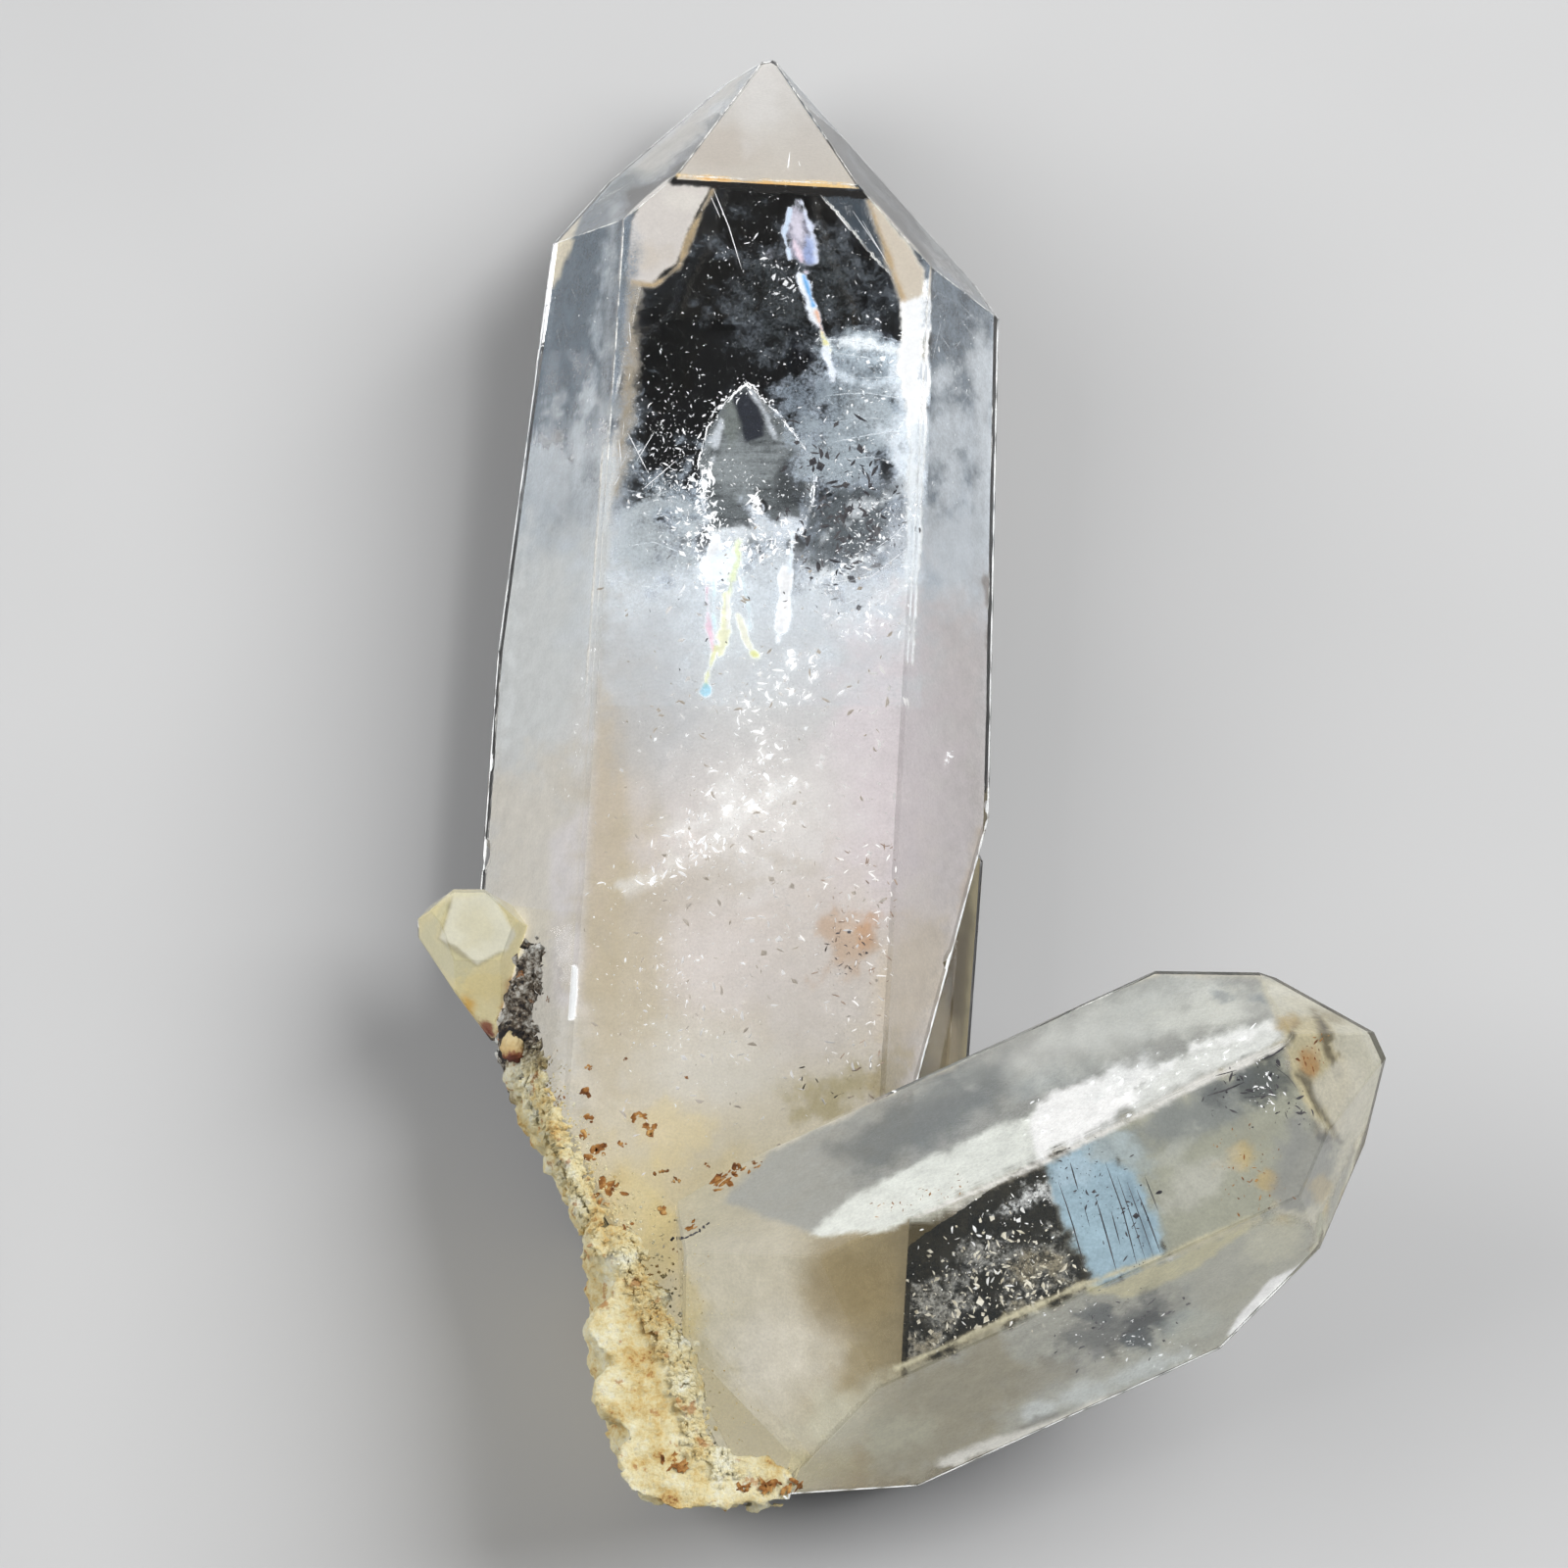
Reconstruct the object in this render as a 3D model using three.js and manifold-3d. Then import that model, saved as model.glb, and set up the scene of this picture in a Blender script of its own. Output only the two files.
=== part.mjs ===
// A natural quartz specimen: a long point, a second point crossing its root, a slimmer point behind it, a
// small point on its left flank, and a rough rind of iron-stained matrix round the roots. It lies on the
// back prism face of the long point. Millimetres, +Z up, +Y towards the tip of the long point.

import * as THREE from "three";
import { ConvexGeometry } from "three/addons/geometries/ConvexGeometry.js";
import { mergeVertices } from "three/addons/utils/BufferGeometryUtils.js";
import Module from "manifold-3d";

const wasm = await Module();
wasm.setup();

const vector = (x, y, z) => new THREE.Vector3(x, y, z);
const degrees = THREE.MathUtils.degToRad;

// The long point's front and back prism faces are parallel, and its axis leans a little to the right.
const LONG_THICKNESS = 16.5;
const LONG_LEAN = 3.2;
// Quartz's pyramid faces look this many degrees above the plane square to the crystal's axis.
const PYRAMID_RISE = 38.2;
// The broken root ends on a plane that leans back by this many degrees.
const ROOT_LEAN = 20;
const ROOT_REACH = 35.3;
// Clear space between the quartz and the matrix that it grew from.
const CRUST_GAP = 0.3;
const CRUST_FLOOR = 0.4;
// The matrix stands this far proud of the crystals' faces, below the corner that it fills under the small
// point, which ends at this place along the specimen.
const CRUST_PROUD = 0.7;
const CORNER_END = -16;

const lean = degrees(ROOT_LEAN);
const rootEnd = { normal: vector(0, -Math.cos(lean), -Math.sin(lean)), distance: ROOT_REACH };

// A crystal face looks out at an azimuth round the axis, from the front (0) towards the right (90), and up
// the axis by its rise. Its distance is measured square to it from the crystal's centre.
const face = (azimuth, distance, rise = 0) => ({ azimuth, distance, rise });
const pyramid = (azimuth, distance) => face(azimuth, distance, PYRAMID_RISE);
// A cut is a break or contact surface, placed in the specimen's own frame.
const cut = (x, y, z, distance) => ({ normal: vector(x, y, z).normalize(), distance });

// The left side of the root has broken away from the long point, and the second point ends in contact there.
const brokenSide = cut(-0.898, -0.437, -0.043, 20.22);
const contactSide = cut(-0.992, -0.060, 0.110, 9.30);

const longPoint = {
  centre: vector(0, 0, LONG_THICKNESS / 2),
  tip: vector(Math.sin(degrees(LONG_LEAN)), Math.cos(degrees(LONG_LEAN)), 0),
  front: vector(0, 0, 1),
  faces: [
    face(0, LONG_THICKNESS / 2),
    face(60, 9.88),
    face(120, 10.1, 2.9),
    face(180, LONG_THICKNESS / 2),
    face(240, 15.5),
    face(240, 16.3, 6.65),
    face(300, 13.44),
    pyramid(0, 27.06),
    pyramid(60, 25.4),
    pyramid(120, 26.15),
    pyramid(180, 30.5),
    pyramid(240, 32.62),
    face(307.8, 29.26, 37.5),
  ],
  cuts: [
    cut(-0.3, 0.95, 0.1, 43.8),
    cut(0.93, -0.295, -0.218, 9.52),
    brokenSide,
    rootEnd,
  ],
};

// The second point's centre is on its front face, at the shoulder.
const crossPoint = {
  centre: vector(21.87, -27.35, 25.97),
  tip: vector(0.91, 0.39, 0.142),
  front: vector(0, -0.342, 0.94),
  faces: [
    face(0, 0),
    face(60, 3.66),
    face(120, 15.0),
    face(180, 19.5),
    face(240, 13.24),
    face(300, 3.03),
    face(0, 12.3, -37),
    pyramid(0, 4.19),
    pyramid(60, 5.4),
    pyramid(120, 10.0),
    pyramid(180, 9.9),
    pyramid(240, 11.85),
    pyramid(300, 6.87),
  ],
  cuts: [contactSide, rootEnd],
};

// The slim point behind, parallel to the long one.
const backPoint = {
  centre: vector(5.0, -12, 2.3),
  tip: vector(0.076, 0.997, 0),
  front: vector(0, 0, 1),
  faces: [
    face(0, 2.3),
    face(60, 5.0),
    face(120, 4.6),
    face(180, 2),
    face(240, 4.2),
    face(300, 4.2),
    ...[0, 60, 120, 180, 240, 300].map((azimuth) => pyramid(azimuth, 10)),
  ],
  cuts: [rootEnd],
};

// The small point's centre is on the flat pyramid face that ends it.
const smallPoint = {
  centre: vector(-17.05, -10.1, 13),
  tip: vector(0, 0.5275, 0.85),
  front: vector(0, -0.85, 0.5275),
  faces: [
    face(0, 1.17),
    face(60, 1.85),
    face(120, 3.5),
    face(180, 4.5),
    face(240, 4.1),
    face(300, 1.6),
    pyramid(0, 0),
    pyramid(60, 1.4),
    pyramid(120, 1.85),
    pyramid(180, 2),
    pyramid(240, 2.3),
    pyramid(300, 1.35),
  ],
  cuts: [cut(-0.818, -0.5405, -0.1967, 19.9), cut(0, -0.5275, -0.85, 1.5)],
};

const crystals = [longPoint, crossPoint, backPoint, smallPoint];

// Small shell-shaped chips out of the edges, each a place just off an edge and a radius.
const chip = (x, y, z, radius) => ({ place: vector(x, y, z), radius });
const chips = [
  chip(-17.1, 2.0, 6.6, 0.8),
  chip(-17.0, -3.6, 6.2, 1.0),
  chip(-13.0, 35.5, 7.5, 1.1),
  chip(-5.6, 44.3, 6.0, 1.2),
  chip(12.0, -1.4, 8.4, 0.8),
  chip(9.6, -11.4, 11.6, 0.9),
  chip(11.4, 24.0, 11.8, 0.7),
  chip(32.3, -18.9, 25.4, 1.2),
  chip(27.5, -34.2, 17.0, 1.2),
  chip(17.0, -38.6, 11.6, 0.9),
];

// The matrix follows the broken left side of the root from its upper end down to the lowest corner and
// along the bottom. Each station is a place in the plan at mid height, a lump radius, and the heights
// between which its lumps lie.
const station = (x, y, radius, low, high) => ({ x, y, radius, low, high });
const crustStations = [
  station(-14.0, -11.6, 1.2, 10.8, 12.6),
  station(-14.6, -13.7, 1.3, 9.6, 12.0),
  station(-14.7, -15.6, 1.5, 5.0, 11.5),
  station(-13.6, -17.4, 1.8, 2.6, 11.2),
  station(-12.0, -20.0, 2.0, 2.2, 12.2),
  station(-10.4, -22.9, 2.2, 2.2, 13.0),
  station(-9.1, -25.9, 2.4, 2.4, 13.8),
  station(-8.4, -29.1, 2.6, 2.4, 15.4),
  station(-8.1, -32.5, 2.6, 2.4, 17.0),
  station(-7.5, -35.4, 2.4, 2.4, 17.8),
  station(-6.9, -37.6, 2.1, 2.2, 18.2),
  station(-6.3, -39.2, 1.9, 2.2, 18.0),
  station(-4.4, -39.6, 1.8, 2.0, 18.0),
  station(-1.6, -39.6, 1.7, 1.9, 17.6),
  station(1.2, -39.4, 1.5, 1.8, 15.0),
];
const LUMPS_PER_STATION = 2;
// Rows of lumps are this many radii apart, and lumps are this much longer up the root than across.
const ROW_STEP = 1.35;
const LUMP_STRETCH = 1.3;

// The planes of a crystal in the specimen's frame, each moved outwards by grow.
function planesOf(crystal, grow = 0) {
  const tip = crystal.tip.clone().normalize();
  const right = vector(0, 0, 0).crossVectors(tip, crystal.front).normalize();
  const front = vector(0, 0, 0).crossVectors(right, tip);
  const faces = crystal.faces.map(({ azimuth, distance, rise }) => {
    const out = front.clone().multiplyScalar(Math.cos(degrees(azimuth)));
    out.addScaledVector(right, Math.sin(degrees(azimuth)));
    const normal = out.multiplyScalar(Math.cos(degrees(rise))).addScaledVector(tip, Math.sin(degrees(rise)));
    return { normal, distance: normal.dot(crystal.centre) + distance + grow };
  });
  return [...faces, ...crystal.cuts.map(({ normal, distance }) => ({ normal, distance: distance + grow }))];
}

// The corner where three planes meet, or null where they have none.
function cornerOf(a, b, c) {
  const ab = vector(0, 0, 0).crossVectors(a.normal, b.normal);
  const spread = ab.dot(c.normal);
  if (Math.abs(spread) < 1e-6) return null;
  const bc = vector(0, 0, 0).crossVectors(b.normal, c.normal);
  const ca = vector(0, 0, 0).crossVectors(c.normal, a.normal);
  const sum = bc.multiplyScalar(a.distance).addScaledVector(ca, b.distance).addScaledVector(ab, c.distance);
  return sum.divideScalar(spread);
}

// The convex body that all the planes enclose.
function bodyInside(planes) {
  const corners = [];
  for (let i = 0; i < planes.length; i += 1) {
    for (let j = i + 1; j < planes.length; j += 1) {
      for (let k = j + 1; k < planes.length; k += 1) {
        const corner = cornerOf(planes[i], planes[j], planes[k]);
        const inside = corner && planes.every((p) => p.normal.dot(corner) <= p.distance + 1e-6);
        if (inside && !corners.some((other) => other.distanceTo(corner) < 1e-3)) corners.push(corner);
      }
    }
  }
  return solidOf(new ConvexGeometry(corners));
}

function solidOf(geometry) {
  geometry.deleteAttribute("normal");
  geometry.deleteAttribute("uv");
  const merged = mergeVertices(geometry, 1e-4);
  const vertProperties = new Float32Array(merged.getAttribute("position").array);
  const triVerts = new Uint32Array(merged.index.array);
  return new wasm.Manifold(new wasm.Mesh({ numProp: 3, vertProperties, triVerts }));
}

// The largest piece of a solid, without the crumbs that a cut leaves beside it.
function geometryOf(solid) {
  const { vertProperties, triVerts } = solid.getMesh();
  const leader = Array.from({ length: vertProperties.length / 3 }, (_, vertex) => vertex);
  const leaderOf = (vertex) => {
    let at = vertex;
    while (leader[at] !== at) at = leader[at];
    leader[vertex] = at;
    return at;
  };
  const pieces = new Map();
  for (let t = 0; t < triVerts.length; t += 3) {
    leader[leaderOf(triVerts[t + 1])] = leaderOf(triVerts[t]);
    leader[leaderOf(triVerts[t + 2])] = leaderOf(triVerts[t]);
  }
  for (let t = 0; t < triVerts.length; t += 3) {
    const piece = leaderOf(triVerts[t]);
    if (!pieces.has(piece)) pieces.set(piece, []);
    pieces.get(piece).push(triVerts[t], triVerts[t + 1], triVerts[t + 2]);
  }
  const largest = [...pieces.values()].sort((a, b) => b.length - a.length)[0];
  const geometry = new THREE.BufferGeometry();
  geometry.setAttribute("position", new THREE.BufferAttribute(vertProperties, 3));
  geometry.setIndex(largest);
  geometry.computeVertexNormals();
  return geometry;
}

const joined = (solids) => solids.reduce((all, one) => all.add(one));
const grown = (some, grow) => joined(some.map((crystal) => bodyInside(planesOf(crystal, grow))));

function quartzCluster() {
  return grown(crystals, 0).subtract(joined(chips.map(({ place, radius }) => lump(place, radius, 1, 2))));
}

// A smooth repeatable roughness between -1 and 1.
function roughness(p, size) {
  const a = Math.sin(p.x / size + 1.7 * Math.sin(p.y / size + 0.6));
  const b = Math.sin(p.y / size + 1.9 * Math.sin(p.z / size + 2.1));
  const c = Math.sin(p.z / size + 2.3 * Math.sin(p.x / size + 4.4));
  return (a + b + c) / 3;
}

// A rough lump, drawn out along the slant of the root.
function lump(centre, radius, stretch, detail) {
  const geometry = new THREE.IcosahedronGeometry(radius, detail);
  geometry.scale(1, 1, stretch).rotateX(lean);
  const positions = geometry.getAttribute("position");
  for (let i = 0; i < positions.count; i += 1) {
    const p = vector(0, 0, 0).fromBufferAttribute(positions, i);
    const place = p.clone().add(centre);
    p.multiplyScalar(1 + 0.16 * roughness(place, 0.8) + 0.12 * roughness(place, 0.3));
    p.add(centre);
    positions.setXYZ(i, p.x, p.y, p.z);
  }
  return solidOf(geometry);
}

// The lumps of one slice of the matrix, from its lowest to its highest, laid like bricks over the next
// slice's and each a little out of line.
function lumpsOf({ x, y, radius, low, high }, slice) {
  const rows = Math.max(2, Math.round((high - low) / (radius * ROW_STEP)) + 1);
  return Array.from({ length: rows }, (_, row) => {
    const swing = (salt) => Math.sin(slice * 12.9 + row * 78.2 + salt * 37.7);
    const size = radius * (0.9 + 0.24 * swing(1));
    const height = (row + (slice % 2) / 2) / (rows - 0.5);
    const z = low + (high - low) * height + 0.4 * radius * swing(2);
    const place = vector(x, y - (z - LONG_THICKNESS / 2) * Math.tan(lean), z);
    place.add(vector(swing(3), swing(4), 0).multiplyScalar(0.34 * radius));
    return lump(place, size, LUMP_STRETCH, 1);
  });
}

// The slices of the matrix: the stations, and places between them.
function crustSlices() {
  const count = (crustStations.length - 1) * LUMPS_PER_STATION + 1;
  return Array.from({ length: count }, (_, slice) => {
    const from = Math.min(Math.floor(slice / LUMPS_PER_STATION), crustStations.length - 2);
    const part = slice / LUMPS_PER_STATION - from;
    const [a, b] = [crustStations[from], crustStations[from + 1]];
    const between = Object.keys(a).map((key) => [key, THREE.MathUtils.lerp(a[key], b[key], part)]);
    return Object.fromEntries(between);
  });
}

// The two long crystals as they were before the side of the root broke away.
function wholeCrystals(grow) {
  const whole = [longPoint, crossPoint].map((crystal) => {
    return { ...crystal, cuts: crystal.cuts.filter((one) => one !== brokenSide && one !== contactSide) };
  });
  return grown(whole, grow);
}

// Rough lumps that fill the corner under the small point, and the broken side of the root below it.
function matrixCrust() {
  const rows = crustSlices().map((slice, index) => ({ y: slice.y, lumps: lumpsOf(slice, index) }));
  const lumpsWhere = (test) => joined(rows.filter(({ y }) => test(y)).flatMap(({ lumps }) => lumps));
  const corner = lumpsWhere((y) => y > CORNER_END);
  const side = lumpsWhere((y) => y <= CORNER_END).intersect(wholeCrystals(CRUST_PROUD));
  const floor = solidOf(new THREE.BoxGeometry(100, 120, 10).translate(0, 0, CRUST_FLOOR - 5));
  return corner.add(side).subtract(grown(crystals, CRUST_GAP)).subtract(floor);
}

const quartz = new THREE.MeshStandardMaterial({ color: 0xe4dfe4, roughness: 0.08, metalness: 0 });
const matrix = new THREE.MeshStandardMaterial({ color: 0xcdb98c, roughness: 0.85, metalness: 0 });

const specimen = new THREE.Group();

const cluster = new THREE.Mesh(geometryOf(quartzCluster()), quartz);
cluster.name = "quartz_cluster";
specimen.add(cluster);

const crust = new THREE.Mesh(geometryOf(matrixCrust()), matrix);
crust.name = "matrix_crust";
specimen.add(crust);

// The origin is on the surface that the specimen lies on, under the middle of its box.
const middle = new THREE.Box3().setFromObject(specimen).getCenter(vector(0, 0, 0));
specimen.position.set(-middle.x, -middle.y, 0);

export default specimen;
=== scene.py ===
# The looks of a natural quartz specimen with a water chamber: its clear faces, the milk, veils, cracks and
# bubble inside it, the stains and matrix on it, and a plain studio. Places are millimetres in the
# specimen's own frame, where the long point's axis passes over the origin, or pixels of the photograph.

import math
import random
from collections import namedtuple

import bmesh
import bpy
from mathutils import Matrix, Vector, noise
from mathutils.bvhtree import BVHTree


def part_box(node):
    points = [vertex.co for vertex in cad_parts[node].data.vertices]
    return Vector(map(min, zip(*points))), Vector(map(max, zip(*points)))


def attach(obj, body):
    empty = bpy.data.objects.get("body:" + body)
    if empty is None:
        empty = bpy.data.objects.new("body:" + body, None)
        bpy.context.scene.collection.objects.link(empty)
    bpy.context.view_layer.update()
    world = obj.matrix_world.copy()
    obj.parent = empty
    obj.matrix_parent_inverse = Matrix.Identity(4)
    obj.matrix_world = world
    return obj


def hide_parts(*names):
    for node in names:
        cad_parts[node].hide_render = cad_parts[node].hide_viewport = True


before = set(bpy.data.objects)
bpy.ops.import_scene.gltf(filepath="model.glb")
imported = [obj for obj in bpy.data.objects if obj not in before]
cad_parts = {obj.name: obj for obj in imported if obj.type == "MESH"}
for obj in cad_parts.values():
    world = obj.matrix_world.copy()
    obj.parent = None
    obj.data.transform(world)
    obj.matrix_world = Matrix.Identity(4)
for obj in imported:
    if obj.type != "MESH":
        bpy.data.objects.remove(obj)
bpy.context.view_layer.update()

MM = 0.001
# The quartz's farthest x and y in the specimen's own frame.
QUARTZ_REACH = (32.1027, 45.2032)
quartz_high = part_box("quartz_cluster")[1]
HOME = Vector((quartz_high.x / MM - QUARTZ_REACH[0], quartz_high.y / MM - QUARTZ_REACH[1], 0))

# The photograph's view: its middle looks at TARGET from CAMERA_DISTANCE, CAMERA_TILT from straight down.
PHOTO_MIDDLE = 800
PIXEL = 0.055
TARGET = Vector((0, 0, 8.25))
CAMERA_DISTANCE = 450
CAMERA_TILT = math.radians(20)
TOWARDS_CAMERA = Vector((0, -math.sin(CAMERA_TILT), math.cos(CAMERA_TILT)))
IMAGE_UP = Vector((0, math.cos(CAMERA_TILT), math.sin(CAMERA_TILT)))
CAMERA_PLACE = TARGET + TOWARDS_CAMERA * CAMERA_DISTANCE

QUARTZ_IOR = 1.544
WATER_IOR = 1.333

# The crystals, as the CAD has them. A face is its azimuth round the axis from the front, its distance from
# the centre and its rise up the axis. A cut is its normal and its distance from the origin.
PYRAMID_RISE = 38.2
ROOT_LEAN = math.radians(20)
ROOT_END = ((0, -math.cos(ROOT_LEAN), -math.sin(ROOT_LEAN)), 35.3)
LONG_LEAN = math.radians(3.2)


def pyramid(azimuth, distance):
    return (azimuth, distance, PYRAMID_RISE)


LONG_POINT = {
    "centre": (0, 0, 8.25),
    "tip": (math.sin(LONG_LEAN), math.cos(LONG_LEAN), 0),
    "front": (0, 0, 1),
    "faces": [
        (0, 8.25, 0), (60, 9.88, 0), (120, 10.1, 2.9), (180, 8.25, 0), (240, 15.5, 0), (240, 16.3, 6.65),
        (300, 13.44, 0), pyramid(0, 27.06), pyramid(60, 25.4), pyramid(120, 26.15), pyramid(180, 30.5),
        pyramid(240, 32.62), (307.8, 29.26, 37.5),
    ],
    "cuts": [
        ((-0.3, 0.95, 0.1), 43.8), ((0.93, -0.295, -0.218), 9.52), ((-0.898, -0.437, -0.043), 20.22),
        ROOT_END,
    ],
}
CROSS_POINT = {
    "centre": (21.87, -27.35, 25.97),
    "tip": (0.91, 0.39, 0.142),
    "front": (0, -0.342, 0.94),
    "faces": [
        (0, 0, 0), (60, 3.66, 0), (120, 15.0, 0), (180, 19.5, 0), (240, 13.24, 0), (300, 3.03, 0),
        (0, 12.3, -37), pyramid(0, 4.19), pyramid(60, 5.4), pyramid(120, 10.0), pyramid(180, 9.9),
        pyramid(240, 11.85), pyramid(300, 6.87),
    ],
    "cuts": [((-0.992, -0.060, 0.110), 9.30), ROOT_END],
}
BACK_POINT = {
    "centre": (5.0, -12, 2.3),
    "tip": (0.076, 0.997, 0),
    "front": (0, 0, 1),
    "faces": [
        (0, 2.3, 0), (60, 5.0, 0), (120, 4.6, 0), (180, 2, 0), (240, 4.2, 0), (300, 4.2, 0),
        *[pyramid(azimuth, 10) for azimuth in range(0, 360, 60)],
    ],
    "cuts": [ROOT_END],
}
SMALL_POINT = {
    "centre": (-17.05, -10.1, 13),
    "tip": (0, 0.5275, 0.85),
    "front": (0, -0.85, 0.5275),
    "faces": [
        (0, 1.17, 0), (60, 1.85, 0), (120, 3.5, 0), (180, 4.5, 0), (240, 4.1, 0), (300, 1.6, 0),
        pyramid(0, 0), pyramid(60, 1.4), pyramid(120, 1.85), pyramid(180, 2), pyramid(240, 2.3),
        pyramid(300, 1.35),
    ],
    "cuts": [((-0.818, -0.5405, -0.1967), 19.9), ((0, -0.5275, -0.85), 1.5)],
}
# Where each crystal's face stands in its list.
FRONT, RIGHT, LEFT, TIP_FRONT = 0, 1, 6, 7
CROSS_FRONT, CROSS_LOWER, CROSS_UPPER, CROSS_SLOPE, CROSS_TIP_FRONT = 0, 1, 5, 6, 7
# The height above which the surface is the long point's front.
LEVEL_FRONT = 16.3

inside_pieces = []
outside_pieces = []


# Planes, sight lines and places

def planes_of(crystal, inset=0.0):
    """The crystal's planes as (normal, distance from the origin), moved inwards by inset."""
    tip = Vector(crystal["tip"]).normalized()
    right = tip.cross(Vector(crystal["front"])).normalized()
    front = right.cross(tip)
    centre = Vector(crystal["centre"])
    planes = []
    for azimuth, distance, rise in crystal["faces"]:
        around, up = math.radians(azimuth), math.radians(rise)
        out = front * math.cos(around) + right * math.sin(around)
        normal = out * math.cos(up) + tip * math.sin(up)
        planes.append((normal, normal.dot(centre) + distance - inset))
    for normal, distance in crystal["cuts"]:
        planes.append((Vector(normal).normalized(), distance - inset))
    return planes


def is_inside(crystal, place, margin):
    return all(normal.dot(place) < distance for normal, distance in planes_of(crystal, margin))


def sight_line(pixel):
    """The direction in which the photograph's pixel looks."""
    across = (pixel[0] - PHOTO_MIDDLE) * PIXEL
    up = (PHOTO_MIDDLE - pixel[1]) * PIXEL
    return (TARGET + Vector((across, 0, 0)) + IMAGE_UP * up - CAMERA_PLACE).normalized()


def refracted(direction, normal):
    """The direction inside the quartz of a line of sight that enters it through a face."""
    share = 1 / QUARTZ_IOR
    head_on = -direction.dot(normal)
    return direction * share + normal * (share * head_on - math.sqrt(1 - share**2 * (1 - head_on**2)))


def beneath(pixel, face, depth):
    """The place that the pixel shows at a depth below a face, (normal, distance), past the face's bending."""
    normal, distance = face
    line = sight_line(pixel)
    entry = CAMERA_PLACE + line * ((distance - normal.dot(CAMERA_PLACE)) / normal.dot(line))
    inward = refracted(line, normal)
    return entry - inward * (depth / inward.dot(normal))


def tree_of(node_name):
    """A search tree over a CAD node, in millimetres in the specimen's own frame."""
    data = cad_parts[node_name].data
    corners = [vertex.co / MM - HOME for vertex in data.vertices]
    return BVHTree.FromPolygons(corners, [polygon.vertices for polygon in data.polygons])


quartz_tree = tree_of("quartz_cluster")
crust_tree = tree_of("matrix_crust")


def on_surface(pixel):
    """The place and normal of the quartz's surface at the photograph's pixel."""
    place, normal, _, _ = quartz_tree.ray_cast(CAMERA_PLACE, sight_line(pixel))
    return place, normal


def along_path(path, share):
    """The pixel at a share, 0 to 1, of the length of a path of pixels."""
    steps = [math.dist(a, b) for a, b in zip(path, path[1:])]
    left = share * sum(steps)
    for (start, end), step in zip(zip(path, path[1:]), steps):
        if left <= step:
            return [a + (b - a) * left / step for a, b in zip(start, end)]
        left -= step
    return list(path[-1])


# Meshes, in millimetres in the specimen's own frame

BLANK_SIZE = 200
CUT_TOLERANCE = 1e-4
# How far a chip's corners stray across and reach along its axes, in shares of its radii.
CHIP_STRAY = 0.3
CHIP_REACH = (0.7, 1.2)
# The same for a film's rim, and its rings from its foot up: their share of its width and of its height.
FILM_REACH = (0.55, 1.1)
FILM_RINGS = ((1.0, -0.5), (0.95, 0.3), (0.55, 1.0))
THREAD_SIDES = 4
THREAD_PARTS = 4
MOST_HALVINGS = 14
# How far a face turns towards the camera before it counts as seen.
SEEN_FROM = 0.05


def cut_off(mesh, normal, distance):
    """Cuts off what lies outside a plane and gives the edges round the cut."""
    everything = mesh.verts[:] + mesh.edges[:] + mesh.faces[:]
    cut = bmesh.ops.bisect_plane(mesh, geom=everything, plane_co=normal * distance, plane_no=normal,
                                 clear_outer=True, dist=CUT_TOLERANCE)
    return [part for part in cut["geom_cut"] if isinstance(part, bmesh.types.BMEdge)]


def body_inside(planes):
    """The closed convex body that the planes bound."""
    mesh = bmesh.new()
    bmesh.ops.create_cube(mesh, size=BLANK_SIZE)
    for normal, distance in planes:
        rim = cut_off(mesh, normal, distance)
        if len(rim) > 2:
            bmesh.ops.contextual_create(mesh, geom=rim)
    return mesh


def face_slab(crystal, face, depth, thickness, margin):
    """A thin closed slab that lies under one of the crystal's faces, short of its edges by a margin."""
    planes = planes_of(crystal, depth + margin)
    normal, distance = planes_of(crystal, depth)[face]
    planes[face] = (normal, distance)
    planes.append((-normal, thickness - distance))
    return body_inside(planes)


def add_loft(mesh, rings):
    """A closed body through rings of corners, each ring as long as the last."""
    loops = [[mesh.verts.new(corner) for corner in ring] for ring in rings]
    for lower, upper in zip(loops, loops[1:]):
        for index in range(len(lower)):
            after = (index + 1) % len(lower)
            mesh.faces.new((lower[index], lower[after], upper[after], upper[index]))
    mesh.faces.new(loops[0][::-1])
    mesh.faces.new(loops[-1])


def add_chip(mesh, draw, centre, radii, facing):
    """A small closed chip with six corners, whose third half width points towards facing."""
    turn = Vector((0, 0, 1)).rotation_difference(facing).to_matrix()
    turn = turn @ Matrix.Rotation(draw.uniform(0, math.tau), 3, "Z")
    corners = []
    for axis in range(3):
        for side in (1, -1):
            corner = Vector([draw.uniform(-CHIP_STRAY, CHIP_STRAY) * radius for radius in radii])
            corner[axis] = side * radii[axis] * draw.uniform(*CHIP_REACH)
            corners.append(mesh.verts.new(Vector(centre) + turn @ corner))
    for x in (0, 1):
        for y in (2, 3):
            for z in (4, 5):
                mesh.faces.new((corners[x], corners[y], corners[z]))


def add_thread(mesh, places, radius):
    """A thin closed thread through the places, pointed at both ends."""
    angles = [math.tau * side / THREAD_SIDES for side in range(THREAD_SIDES)]
    rings = []
    for index, place in enumerate(places):
        before = places[max(index - 1, 0)]
        after = places[min(index + 1, len(places) - 1)]
        direction = (after - before).normalized()
        across = direction.cross(Vector((0.3, 0.2, 1))).normalized()
        over = direction.cross(across)
        width = radius * (0.25 if index in (0, len(places) - 1) else 1)
        rings.append([place + (across * math.cos(a) + over * math.sin(a)) * width for a in angles])
    add_loft(mesh, rings)


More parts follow.
